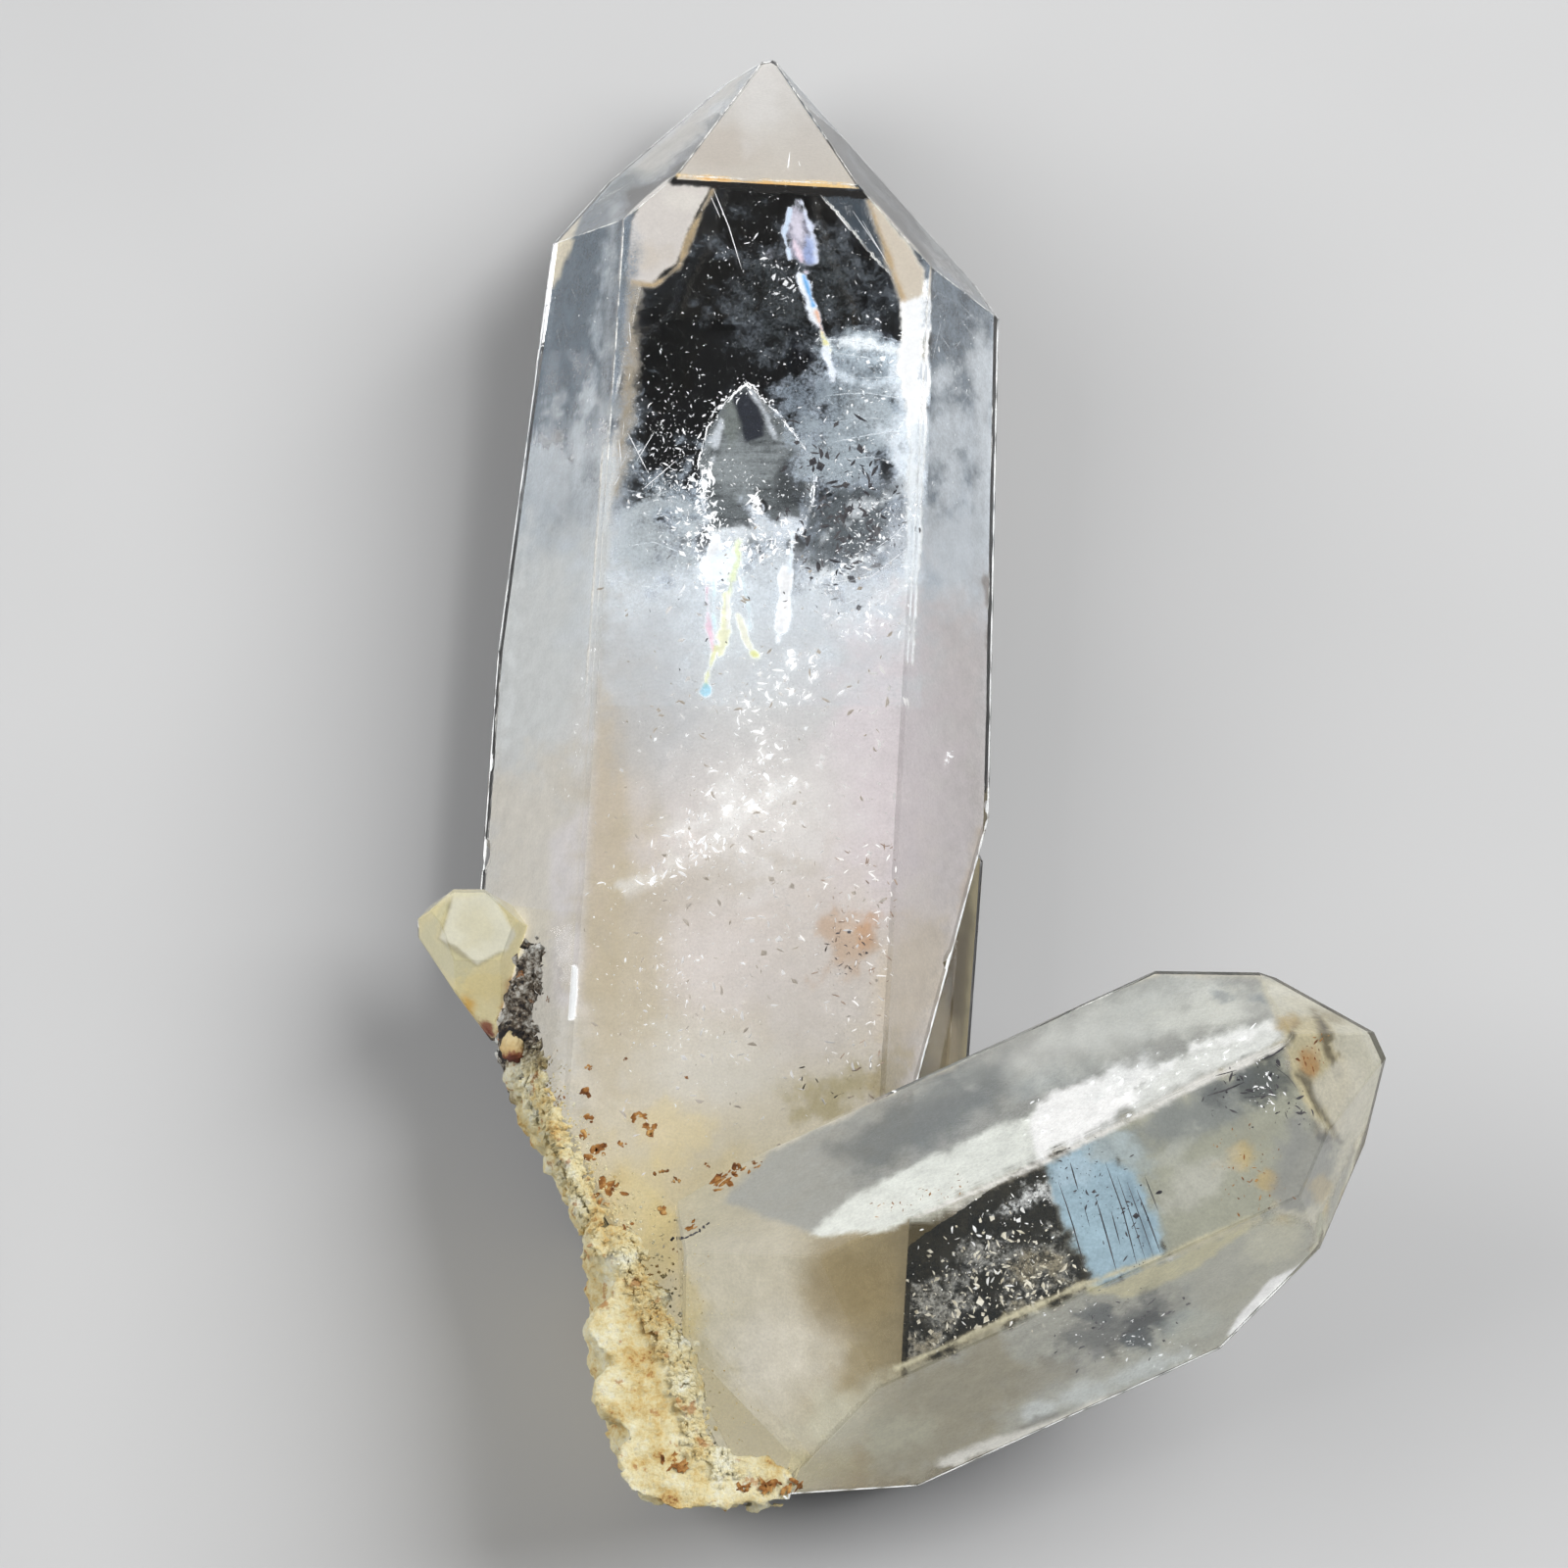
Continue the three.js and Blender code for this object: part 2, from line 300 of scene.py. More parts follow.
def add_film(mesh, draw, place, normal, radii, height, corners=11):
    """A low, uneven lump with a ragged outline on a surface."""
    across = normal.orthogonal().normalized()
    over = normal.cross(across)
    turn = draw.uniform(0, math.tau)
    reach = [draw.uniform(*FILM_REACH) for _ in range(corners)]
    rings = []
    for share, rise in FILM_RINGS:
        ring = []
        for index in range(corners):
            angle = math.tau * index / corners
            x = math.cos(angle) * radii[0] * reach[index] * share
            y = math.sin(angle) * radii[1] * reach[index] * share
            x, y = x * math.cos(turn) - y * math.sin(turn), x * math.sin(turn) + y * math.cos(turn)
            ring.append(place + across * x + over * y + normal * height * rise)
        rings.append(ring)
    add_loft(mesh, rings)


def subdivide_to(mesh, longest, facing=None):
    """Triangles no longer than longest, or than facing where they face the camera."""
    bmesh.ops.triangulate(mesh, faces=mesh.faces[:])
    for _ in range(MOST_HALVINGS):
        mesh.normal_update()
        edges = []
        for edge in mesh.edges:
            near = facing and any(face.normal.dot(TOWARDS_CAMERA) > SEEN_FROM for face in edge.link_faces)
            if edge.calc_length() > (facing if near else longest):
                edges.append(edge)
        if not edges:
            break
        bmesh.ops.subdivide_edges(mesh, edges=edges, cuts=1)
        bmesh.ops.triangulate(mesh, faces=[face for face in mesh.faces if len(face.verts) > 3])


def keep_inside(mesh, planes):
    """Cuts off what lies outside the planes and closes the cuts."""
    for normal, distance in planes:
        if any(normal.dot(vertex.co) >= distance for vertex in mesh.verts):
            bmesh.ops.holes_fill(mesh, edges=cut_off(mesh, normal, distance), sides=0)
    bmesh.ops.triangulate(mesh, faces=[face for face in mesh.faces if len(face.verts) > 4])


# Pieces

def linked(name, data):
    """A new object of the scene."""
    made = bpy.data.objects.new(name, data)
    bpy.context.scene.collection.objects.link(made)
    return made


def riding(name, data, material):
    """A piece that rides on the specimen."""
    data.materials.append(material)
    piece = linked(name, data)
    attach(piece, "root")
    return piece


def new_piece(name, mesh, material, smooth=False, inside=True, hollow=False):
    """A mesh made into a piece that rides on the specimen; the faces of a hollow look inwards."""
    bmesh.ops.translate(mesh, vec=HOME, verts=mesh.verts)
    bmesh.ops.scale(mesh, vec=(MM, MM, MM), verts=mesh.verts)
    bmesh.ops.recalc_face_normals(mesh, faces=mesh.faces)
    if hollow:
        bmesh.ops.reverse_faces(mesh, faces=mesh.faces)
    data = bpy.data.meshes.new(name)
    mesh.to_mesh(data)
    mesh.free()
    for polygon in data.polygons:
        polygon.use_smooth = smooth
    piece = riding(name, data, material)
    (inside_pieces if inside else outside_pieces).append(piece)


def copy_of_node(node_name, name, material):
    """A new piece that stands for a CAD node, with a copy of its mesh, and a bmesh of it in metres."""
    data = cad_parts[node_name].data.copy()
    data.name = name
    data.materials.clear()
    piece = riding(name, data, material)
    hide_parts(node_name)
    outside_pieces.append(piece)
    mesh = bmesh.new()
    mesh.from_mesh(data)
    bmesh.ops.remove_doubles(mesh, verts=mesh.verts, dist=0.002 * MM)
    return piece, mesh


# Nodes

def link(tree, value, socket):
    if isinstance(value, bpy.types.NodeSocket):
        tree.links.new(value, socket)
    else:
        socket.default_value = value


def add_node(tree, kind, settings=None, **inputs):
    node = tree.nodes.new(kind)
    for key, value in (settings or {}).items():
        setattr(node, key, value)
    for key, value in inputs.items():
        link(tree, value, node.inputs[key.replace("_", " ")])
    return node


def calc(tree, operation, a, b, c=0.0, clamp=False):
    node = tree.nodes.new("ShaderNodeMath")
    node.operation = operation
    node.use_clamp = clamp
    for value, socket in zip((a, b, c), node.inputs):
        link(tree, value, socket)
    return node.outputs[0]


def own_place(tree):
    """The shaded point in millimetres in the specimen's own frame."""
    coordinates = tree.nodes.new("ShaderNodeTexCoord")
    mapping = tree.nodes.new("ShaderNodeMapping")
    mapping.inputs["Scale"].default_value = (1 / MM, 1 / MM, 1 / MM)
    mapping.inputs["Location"].default_value = -HOME
    tree.links.new(coordinates.outputs["Object"], mapping.inputs["Vector"])
    return mapping.outputs["Vector"]


def along(tree, place, direction, origin=(0, 0, 0)):
    """How far the place lies from origin along a direction."""
    direction = Vector(direction).normalized()
    dot = tree.nodes.new("ShaderNodeVectorMath")
    dot.operation = "DOT_PRODUCT"
    tree.links.new(place, dot.inputs[0])
    dot.inputs[1].default_value = direction
    return calc(tree, "SUBTRACT", dot.outputs["Value"], direction.dot(Vector(origin)))


def grain(tree, place, size, detail=3.0, rough=0.55, shift=0.0, stretch=(1, 1, 1)):
    """Noise from 0 to 1 whose lumps are about size across."""
    mapping = tree.nodes.new("ShaderNodeMapping")
    mapping.inputs["Location"].default_value = (shift, shift * 1.7, shift * 0.6)
    mapping.inputs["Scale"].default_value = [1 / s for s in stretch]
    tree.links.new(place, mapping.inputs["Vector"])
    texture = add_node(tree, "ShaderNodeTexNoise", Vector=mapping.outputs["Vector"], Scale=1 / size,
                       Detail=detail, Roughness=rough)
    return texture.outputs["Fac"]


def spread(tree, value, low, high, to_low=0.0, to_high=1.0):
    """A value from low to high turned smoothly into one from to_low to to_high."""
    node = add_node(tree, "ShaderNodeMapRange", {"interpolation_type": "SMOOTHSTEP", "clamp": True})
    for socket, number in zip(node.inputs[:5], (value, low, high, to_low, to_high)):
        link(tree, number, socket)
    return node.outputs["Result"]


def rgb(red, green, blue):
    """A colour as a screen shows it, 0 to 255, as the linear values that a shader takes."""
    return tuple(((value / 255 + 0.055) / 1.055) ** 2.4 for value in (red, green, blue))


def colours(tree, value, stops):
    node = tree.nodes.new("ShaderNodeValToRGB")
    link(tree, value, node.inputs["Fac"])
    ramp = node.color_ramp
    while len(ramp.elements) < len(stops):
        ramp.elements.new(0.5)
    for element, (position, tint) in zip(ramp.elements, stops):
        element.position = position
        element.color = (*tint, 1)
    return node.outputs["Color"]


def blended(tree, share, a, b):
    node = tree.nodes.new("ShaderNodeMix")
    node.data_type = "RGBA"
    link(tree, share, node.inputs[0])
    link(tree, (*a, 1) if isinstance(a, tuple) else a, node.inputs[6])
    link(tree, (*b, 1) if isinstance(b, tuple) else b, node.inputs[7])
    return node.outputs[2]


def bumps(tree, height, depth):
    node = add_node(tree, "ShaderNodeBump", Height=height, Distance=depth * MM, Strength=1.0)
    return node.outputs["Normal"]


def new_material(name, **sockets):
    material = bpy.data.materials.new(name)
    material.use_nodes = True
    tree = material.node_tree
    shader = tree.nodes["Principled BSDF"]
    for key, value in sockets.items():
        shader.inputs[key.replace("_", " ")].default_value = value
    return material, tree, shader


# Materials

def clear_quartz():
    """Clear polished faces with faint waves, fine lines across the prism and a few worn, frosted places."""
    material, tree, shader = new_material("clear_quartz", IOR=QUARTZ_IOR, Transmission_Weight=1.0)
    shader.inputs["Base Color"].default_value = (0.985, 0.985, 0.99, 1)
    place = own_place(tree)
    waves = grain(tree, place, 5.0, detail=1.0)
    lines = grain(tree, place, 0.5, detail=2.0, stretch=(14, 1, 14))
    height = calc(tree, "MULTIPLY_ADD", lines, 0.12, waves)
    frost = spread(tree, grain(tree, place, 2.4, detail=6.0, rough=0.7, shift=9.0), 0.6, 0.78)
    link(tree, spread(tree, frost, 0.0, 1.0, 0.015, 0.16), shader.inputs["Roughness"])
    link(tree, bumps(tree, height, 0.06), shader.inputs["Normal"])
    return material


def film(name, stops, cover=None, size=1.5, gloss=0.5):
    """Something thin inside the quartz: stops colour it by one noise, and another sets its cover."""
    material, tree, shader = new_material(name, Roughness=gloss, IOR=1.2)
    place = own_place(tree)
    tone = grain(tree, place, size, detail=4.0, rough=0.65, shift=1.0)
    link(tree, colours(tree, tone, stops), shader.inputs["Base Color"])
    if cover:
        veil = grain(tree, place, size * 0.7, detail=5.0, rough=0.7, shift=6.0)
        link(tree, spread(tree, veil, 0.36, 0.64, *cover), shader.inputs["Alpha"])
    return material


def painted(name, mottle, speckle, thin, gloss=0.85, size=1.6, shift=1.0, stretch=(1, 1, 1)):
    """What brushes painted, with cloudy mottling, fine speckle, and an uneven cover where it is thin."""
    material, tree, shader = new_material(name, Roughness=gloss, Specular_IOR_Level=0.1)
    place = own_place(tree)
    tint = add_node(tree, "ShaderNodeAttribute", {"attribute_name": "tint"}).outputs["Color"]
    cover = add_node(tree, "ShaderNodeAttribute", {"attribute_name": "cover"}).outputs["Fac"]
    cloud = grain(tree, place, size, detail=6.0, rough=0.64, shift=shift, stretch=stretch)
    dust = grain(tree, place, 0.17, detail=2.0, rough=0.7, shift=shift * 2)
    light = calc(tree, "MULTIPLY_ADD", cloud, 2 * mottle, 1 - mottle - speckle)
    light = calc(tree, "MULTIPLY_ADD", dust, 2 * speckle, light)
    shaded = add_node(tree, "ShaderNodeHueSaturation", Value=light, Color=tint)
    link(tree, shaded.outputs["Color"], shader.inputs["Base Color"])
    uneven = calc(tree, "MULTIPLY_ADD", dust, 0.7, calc(tree, "SUBTRACT", cloud, 0.85))
    half_way = calc(tree, "MULTIPLY", cover, calc(tree, "SUBTRACT", 1.0, cover))
    change = calc(tree, "MULTIPLY", uneven, calc(tree, "MULTIPLY", half_way, 7 * thin))
    link(tree, calc(tree, "ADD", cover, change, clamp=True), shader.inputs["Alpha"])
    return material


def liquid(name, ior):
    """What fills a hollow, as seen from the denser thing round it."""
    material, tree, shader = new_material(name, IOR=ior, Transmission_Weight=1.0, Roughness=0.0)
    shader.inputs["Base Color"].default_value = (1, 1, 1, 1)
    place = own_place(tree)
    link(tree, bumps(tree, grain(tree, place, 0.9, stretch=(3, 0.5, 3)), 0.05), shader.inputs["Normal"])
    return material


RUST = [(0.3, rgb(196, 158, 98)), (0.5, rgb(138, 92, 48)), (0.66, rgb(76, 44, 26))]
DARK = [(0.35, rgb(40, 40, 46)), (0.6, rgb(84, 82, 84))]
# White chips, rims, rings and needles: partly the quartz's own cracks and needles, partly painted glints.
bright_inclusions_and_glints = film("bright_inclusions_and_glints", [(0.3, rgb(246, 249, 252)), (0.6, rgb(255, 255, 255))], gloss=0.3)
pale_wisps = film("pale_wisps", [(0.35, rgb(204, 202, 200)), (0.6, rgb(226, 225, 224))])
dull_wisps = film("dull_wisps", [(0.35, rgb(164, 155, 142)), (0.6, rgb(182, 175, 166))])
smoky_chips = film("smoky_chips", DARK, gloss=0.3)
rust_chips = film("rust_chips", RUST, size=0.5)
cream_chips = film("cream_chips", [(0.35, rgb(186, 178, 156)), (0.6, rgb(236, 232, 218))], size=0.6)

LONG_FACES = planes_of(LONG_POINT)
CROSS_FACES = planes_of(CROSS_POINT)
LONG_TOP = LONG_FACES[FRONT]
CROSS_TOP = CROSS_FACES[CROSS_FRONT]


# Painting: brushes shaped in the photograph's pixels colour what lies under the crystals' faces

Brush = namedtuple("Brush", "shape tint cover soft rag share")
# Farther than this many pixels outside a shape, its brush changes nothing.
FAR = 130
# Sheets stay this many millimetres inside the crystals' faces.
INSIDE_MARGIN = 0.12
SHEET_THICKNESS = 0.08
# How much finer each layer of a fractal noise is than the last.
FINER = 2.1


def brush(shape, tint, cover, soft, rag, share=1.0):
    """A change of tint (0 to 255) or cover (0 to 1) over a shape, with its rim's softness and raggedness."""
    return Brush(shape, rgb(*tint) if tint else None, cover, soft, rag, share)


def smooth_step(value):
    value = min(max(value, 0.0), 1.0)
    return value * value * (3 - 2 * value)


def oval(x, y, half_x, half_y, turn=0.0):
    """A shape that tells how many pixels a pixel lies inside it; less than none is outside."""
    cos, sin = math.cos(math.radians(turn)), math.sin(math.radians(turn))

    def inside_by(px, py):
        across, down = px - x, py - y
        if abs(across) + abs(down) > half_x + half_y + 2 * FAR:
            return -FAR
        u = (across * cos + down * sin) / half_x
        v = (down * cos - across * sin) / half_y
        return (1 - math.hypot(u, v)) * min(half_x, half_y)

    return inside_by


def reach_to(px, py, start, end):
    """How far a pixel lies from the line between two others."""
    (ax, ay), (bx, by) = start, end
    across, down = bx - ax, by - ay
    share = ((px - ax) * across + (py - ay) * down) / (across**2 + down**2)
    share = min(max(share, 0), 1)
    return math.hypot(px - ax - across * share, py - ay - down * share)


def is_far(px, py, corners):
    """Whether a pixel lies far from the box round some others."""
    across, down = zip(*corners)
    return px < min(across) - FAR or px > max(across) + FAR or py < min(down) - FAR or py > max(down) + FAR


def area(*corners):
    """A shape within a closed line of corners."""
    sides = list(zip(corners, corners[1:] + corners[:1]))

    def inside_by(px, py):
        if is_far(px, py, corners):
            return -FAR
        within = False
        for (ax, ay), (bx, by) in sides:
            if (ay > py) != (by > py) and px < ax + (py - ay) * (bx - ax) / (by - ay):
                within = not within
        nearest = min(reach_to(px, py, *side) for side in sides)
        return nearest if within else -nearest

    return inside_by


def line(width, *path):
    """A shape along a path, width pixels wide."""
    def inside_by(px, py):
        if is_far(px, py, path):
            return -FAR
        return width / 2 - min(reach_to(px, py, *side) for side in zip(path, path[1:]))

    return inside_by


def below(*limit):
    """Everything under a line of pixels that runs from left to right."""
    def inside_by(px, py):
        return py - level(limit, px)

    return inside_by


def level(stops, at):
    """A number, or a tuple of them, between two stops of (position, value)."""
    stops = list(stops)
    if at <= stops[0][0]:
        return stops[0][1]
    for (start, low), (end, high) in zip(stops, stops[1:]):
        if at <= end:
            share = (at - start) / (end - start)
            if isinstance(low, tuple):
                return tuple(a + (b - a) * share for a, b in zip(low, high))
            return low + (high - low) * share
    return stops[-1][1]


def painted_at(pixel, tint, cover, brushes):
    """The tint and cover at a pixel once each brush has gone over it in turn."""
    here = Vector((pixel[0], pixel[1], 0)) * PIXEL
    ragged = noise.fractal(here * 0.55, 0.6, FINER, 6)
    for one in brushes:
        inside = one.shape(*pixel)
        if inside < -one.soft - one.rag:
            continue
        share = one.share * smooth_step((inside + one.rag * ragged) / one.soft + 0.5)
        if one.tint:
            tint = [a + (b - a) * share for a, b in zip(tint, one.tint)]
        if one.cover is not None:
            cover += (one.cover - cover) * share
    return tint, cover


def paint(mesh, pixel_of, start_of, brushes):
    """Gives each corner of the mesh its tint and cover."""
    tints = mesh.verts.layers.float_color.new("tint")
    covers = mesh.verts.layers.float.new("cover")
    for vertex in mesh.verts:
        pixel = pixel_of(vertex.co)
        tint, cover = painted_at(pixel, *start_of(pixel), brushes)
        vertex[tints] = (*tint, 1)
        vertex[covers] = cover


def always(tint, cover):
    """The same tint and cover to start from at every pixel."""
    return lambda pixel: (tint, cover)


def seen_at(place):
    """The photograph's pixel that looks at a place."""
    offset = place - CAMERA_PLACE
    scale = CAMERA_DISTANCE / (-offset.dot(TOWARDS_CAMERA) * PIXEL)
    return PHOTO_MIDDLE + offset.x * scale, PHOTO_MIDDLE - offset.dot(IMAGE_UP) * scale


def painted_body(name, crystal, inset, steps, start_of, brushes, material, limits=()):
    """A body inside a crystal, painted, with finer and coarser steps towards and away from the camera."""
    mesh = body_inside(planes_of(crystal, inset) + list(limits))
    bmesh.ops.recalc_face_normals(mesh, faces=mesh.faces)
    subdivide_to(mesh, steps[1], steps[0])
    paint(mesh, seen_at, start_of, brushes)
    new_piece(name, mesh, material)


def sheet(name, outline, face, depth, crystal, start, brushes, material, step):
    """A thin painted sheet below a face. Its outline, in pixels, stays inside the crystal."""
    mesh = bmesh.new()
    mesh.faces.new([mesh.verts.new((x, y, 0)) for x, y in outline])
    subdivide_to(mesh, step)
    paint(mesh, lambda place: (place.x, place.y), always(*start), brushes)
    made = mesh.verts[:] + mesh.edges[:] + mesh.faces[:]
    rim = [edge.verts[:] for edge in mesh.edges if edge.is_boundary]
    partner = bmesh.ops.duplicate(mesh, geom=made)["vert_map"]
    for first, second in rim:
        mesh.faces.new((first, second, partner[second], partner[first]))
    back = {partner[vertex] for vertex in made if isinstance(vertex, bmesh.types.BMVert)}
    for vertex in mesh.verts:
        lower = SHEET_THICKNESS if vertex in back else 0
        vertex.co = beneath((vertex.co.x, vertex.co.y), face, depth + lower)
    keep_inside(mesh, planes_of(crystal, INSIDE_MARGIN))
    new_piece(name, mesh, material)


# The crystals' outsides

SHELL_STEP = 1.1
FACE_UNEVENNESS = 0.018
# Corners of the shell move only where the faces round them meet at less than this angle.
FLAT_ANGLE = 0.02
SMOOTH_ANGLE = math.radians(8)
EDGE_DEPTH = 0.05
EDGE_WIDTH = 0.024
OUTLINE_DEPTH = 0.1
OUTLINE_WIDTH = 0.085
# The shortest and longest stretch of an edge line, worn or lit, and the gaps after one.
EDGE_LINE_STRETCHES = (0.8, 5.0)
EDGE_LINE_GAPS = (0.02, 0.05, 0.5)
OUTLINE_GAP = 0.02
SHORTEST_REST = 0.3
# Below this y, milk hides the long point's front edges.
MILKY_EDGE = 16


def crystal_shell():
    """The specimen's own surface, with very slightly uneven faces."""
    piece, mesh = copy_of_node("quartz_cluster", "crystal_shell", clear_quartz())
    bmesh.ops.dissolve_limit(mesh, angle_limit=math.radians(1), verts=mesh.verts, edges=mesh.edges)
    bmesh.ops.scale(mesh, vec=(1 / MM, 1 / MM, 1 / MM), verts=mesh.verts)
    subdivide_to(mesh, SHELL_STEP)
    mesh.normal_update()
    for vertex in mesh.verts:
        if all(edge.is_manifold and edge.calc_face_angle() < FLAT_ANGLE for edge in vertex.link_edges):
            wave = noise.noise(vertex.co * 0.22) + 0.4 * noise.noise(vertex.co * 0.7)
            vertex.co += vertex.normal * wave * FACE_UNEVENNESS
    bmesh.ops.scale(mesh, vec=(MM, MM, MM), verts=mesh.verts)
    mesh.normal_update()
    for edge in mesh.edges:
        edge.smooth = edge.is_manifold and edge.calc_face_angle() < SMOOTH_ANGLE
    for face in mesh.faces:
        face.smooth = True
    mesh.to_mesh(piece.data)
    mesh.free()


def is_outline(edge):
    """Whether the edge lies on the outline that the camera sees."""
    towards = [face.normal.dot(TOWARDS_CAMERA) > 0 for face in edge.link_faces]
    return towards[0] != towards[1]


def add_edge_threads(mesh, draw, depth, width, on_outline):
    """Threads along the long and the second point's edges, either on or off the outline."""
    crystals = (LONG_POINT, CROSS_POINT, BACK_POINT, SMALL_POINT)
    cross_planes = planes_of(CROSS_POINT, depth)
    smooth_faces = (cross_planes[CROSS_SLOPE], cross_planes[-2])
    front, front_distance = planes_of(LONG_POINT, depth)[FRONT]
    for crystal in crystals[:2]:
        others = [one for one in crystals if one is not crystal]
        body = body_inside(planes_of(crystal, depth))
        bmesh.ops.recalc_face_normals(body, faces=body.faces)
        for edge in body.edges:
            if is_outline(edge) != on_outline:
                continue
            start, end = (vertex.co.copy() for vertex in edge.verts)
            away = [max(abs(normal.dot(place) - distance) for place in (start, end))
                    for normal, distance in smooth_faces]
            if crystal is CROSS_POINT and min(away) < 0.01:
                continue
            length = (end - start).length
            at = draw.uniform(0, 0.1 if on_outline else 0.6)
            while at < length - SHORTEST_REST:
                stretch = min(draw.uniform(*EDGE_LINE_STRETCHES), length - at)
                places = [start.lerp(end, (at + stretch * step / THREAD_PARTS) / length)
                          for step in range(THREAD_PARTS + 1)]
                milky = front.dot(places[2]) > front_distance - 0.01 and places[2].y < MILKY_EDGE
                if not milky and not any(is_inside(other, places[2], 0.1) for other in others):
                    add_thread(mesh, places, width * draw.uniform(0.9, 1.0 if on_outline else 1.6))
                at += stretch + (OUTLINE_GAP if on_outline else draw.choice(EDGE_LINE_GAPS))
        body.free()


def edge_lines():
    """Lines under the edges, part wear and part painted highlight, and brighter painted highlights on the
    outline.
    """
    draw = random.Random(3)
    lines = bmesh.new()
    add_edge_threads(lines, draw, EDGE_DEPTH, EDGE_WIDTH, False)
    worn = film("worn_and_lit_edges", [(0.35, rgb(206, 206, 202)), (0.6, rgb(246, 246, 242))], (0.1, 0.8), size=0.7)
    new_piece("edge_lines", lines, worn)
    outline = bmesh.new()
    add_edge_threads(outline, draw, OUTLINE_DEPTH, OUTLINE_WIDTH, True)
    # The lines along the outline are painted highlights.
    lit = film("painted_outline_highlight", [(0.35, rgb(222, 226, 226)), (0.6, rgb(250, 251, 250))], (0.6, 1.0), size=0.9)
    new_piece("outline_lines", outline, lit)


# Milk, stains and films under the faces, in the photograph's pixels

# Down the long point, what its milk looks like at each height of the photograph.
LONG_TINTS = [
    (430, rgb(172, 181, 192)), (600, rgb(188, 194, 199)), (720, rgb(190, 191, 191)),
    (850, rgb(197, 191, 187)), (1000, rgb(194, 187, 179)), (1100, rgb(196, 190, 176)),
    (1200, rgb(192, 184, 160)), (1400, rgb(182, 174, 148)),
]
# The upper limit of the long point's milk, from left to right.
MILK_LIMIT = [
    (500, 450), (560, 465), (606, 500), (660, 555), (730, 565), (800, 555), (870, 580), (925, 520),
    (960, 430), (1020, 400),
]
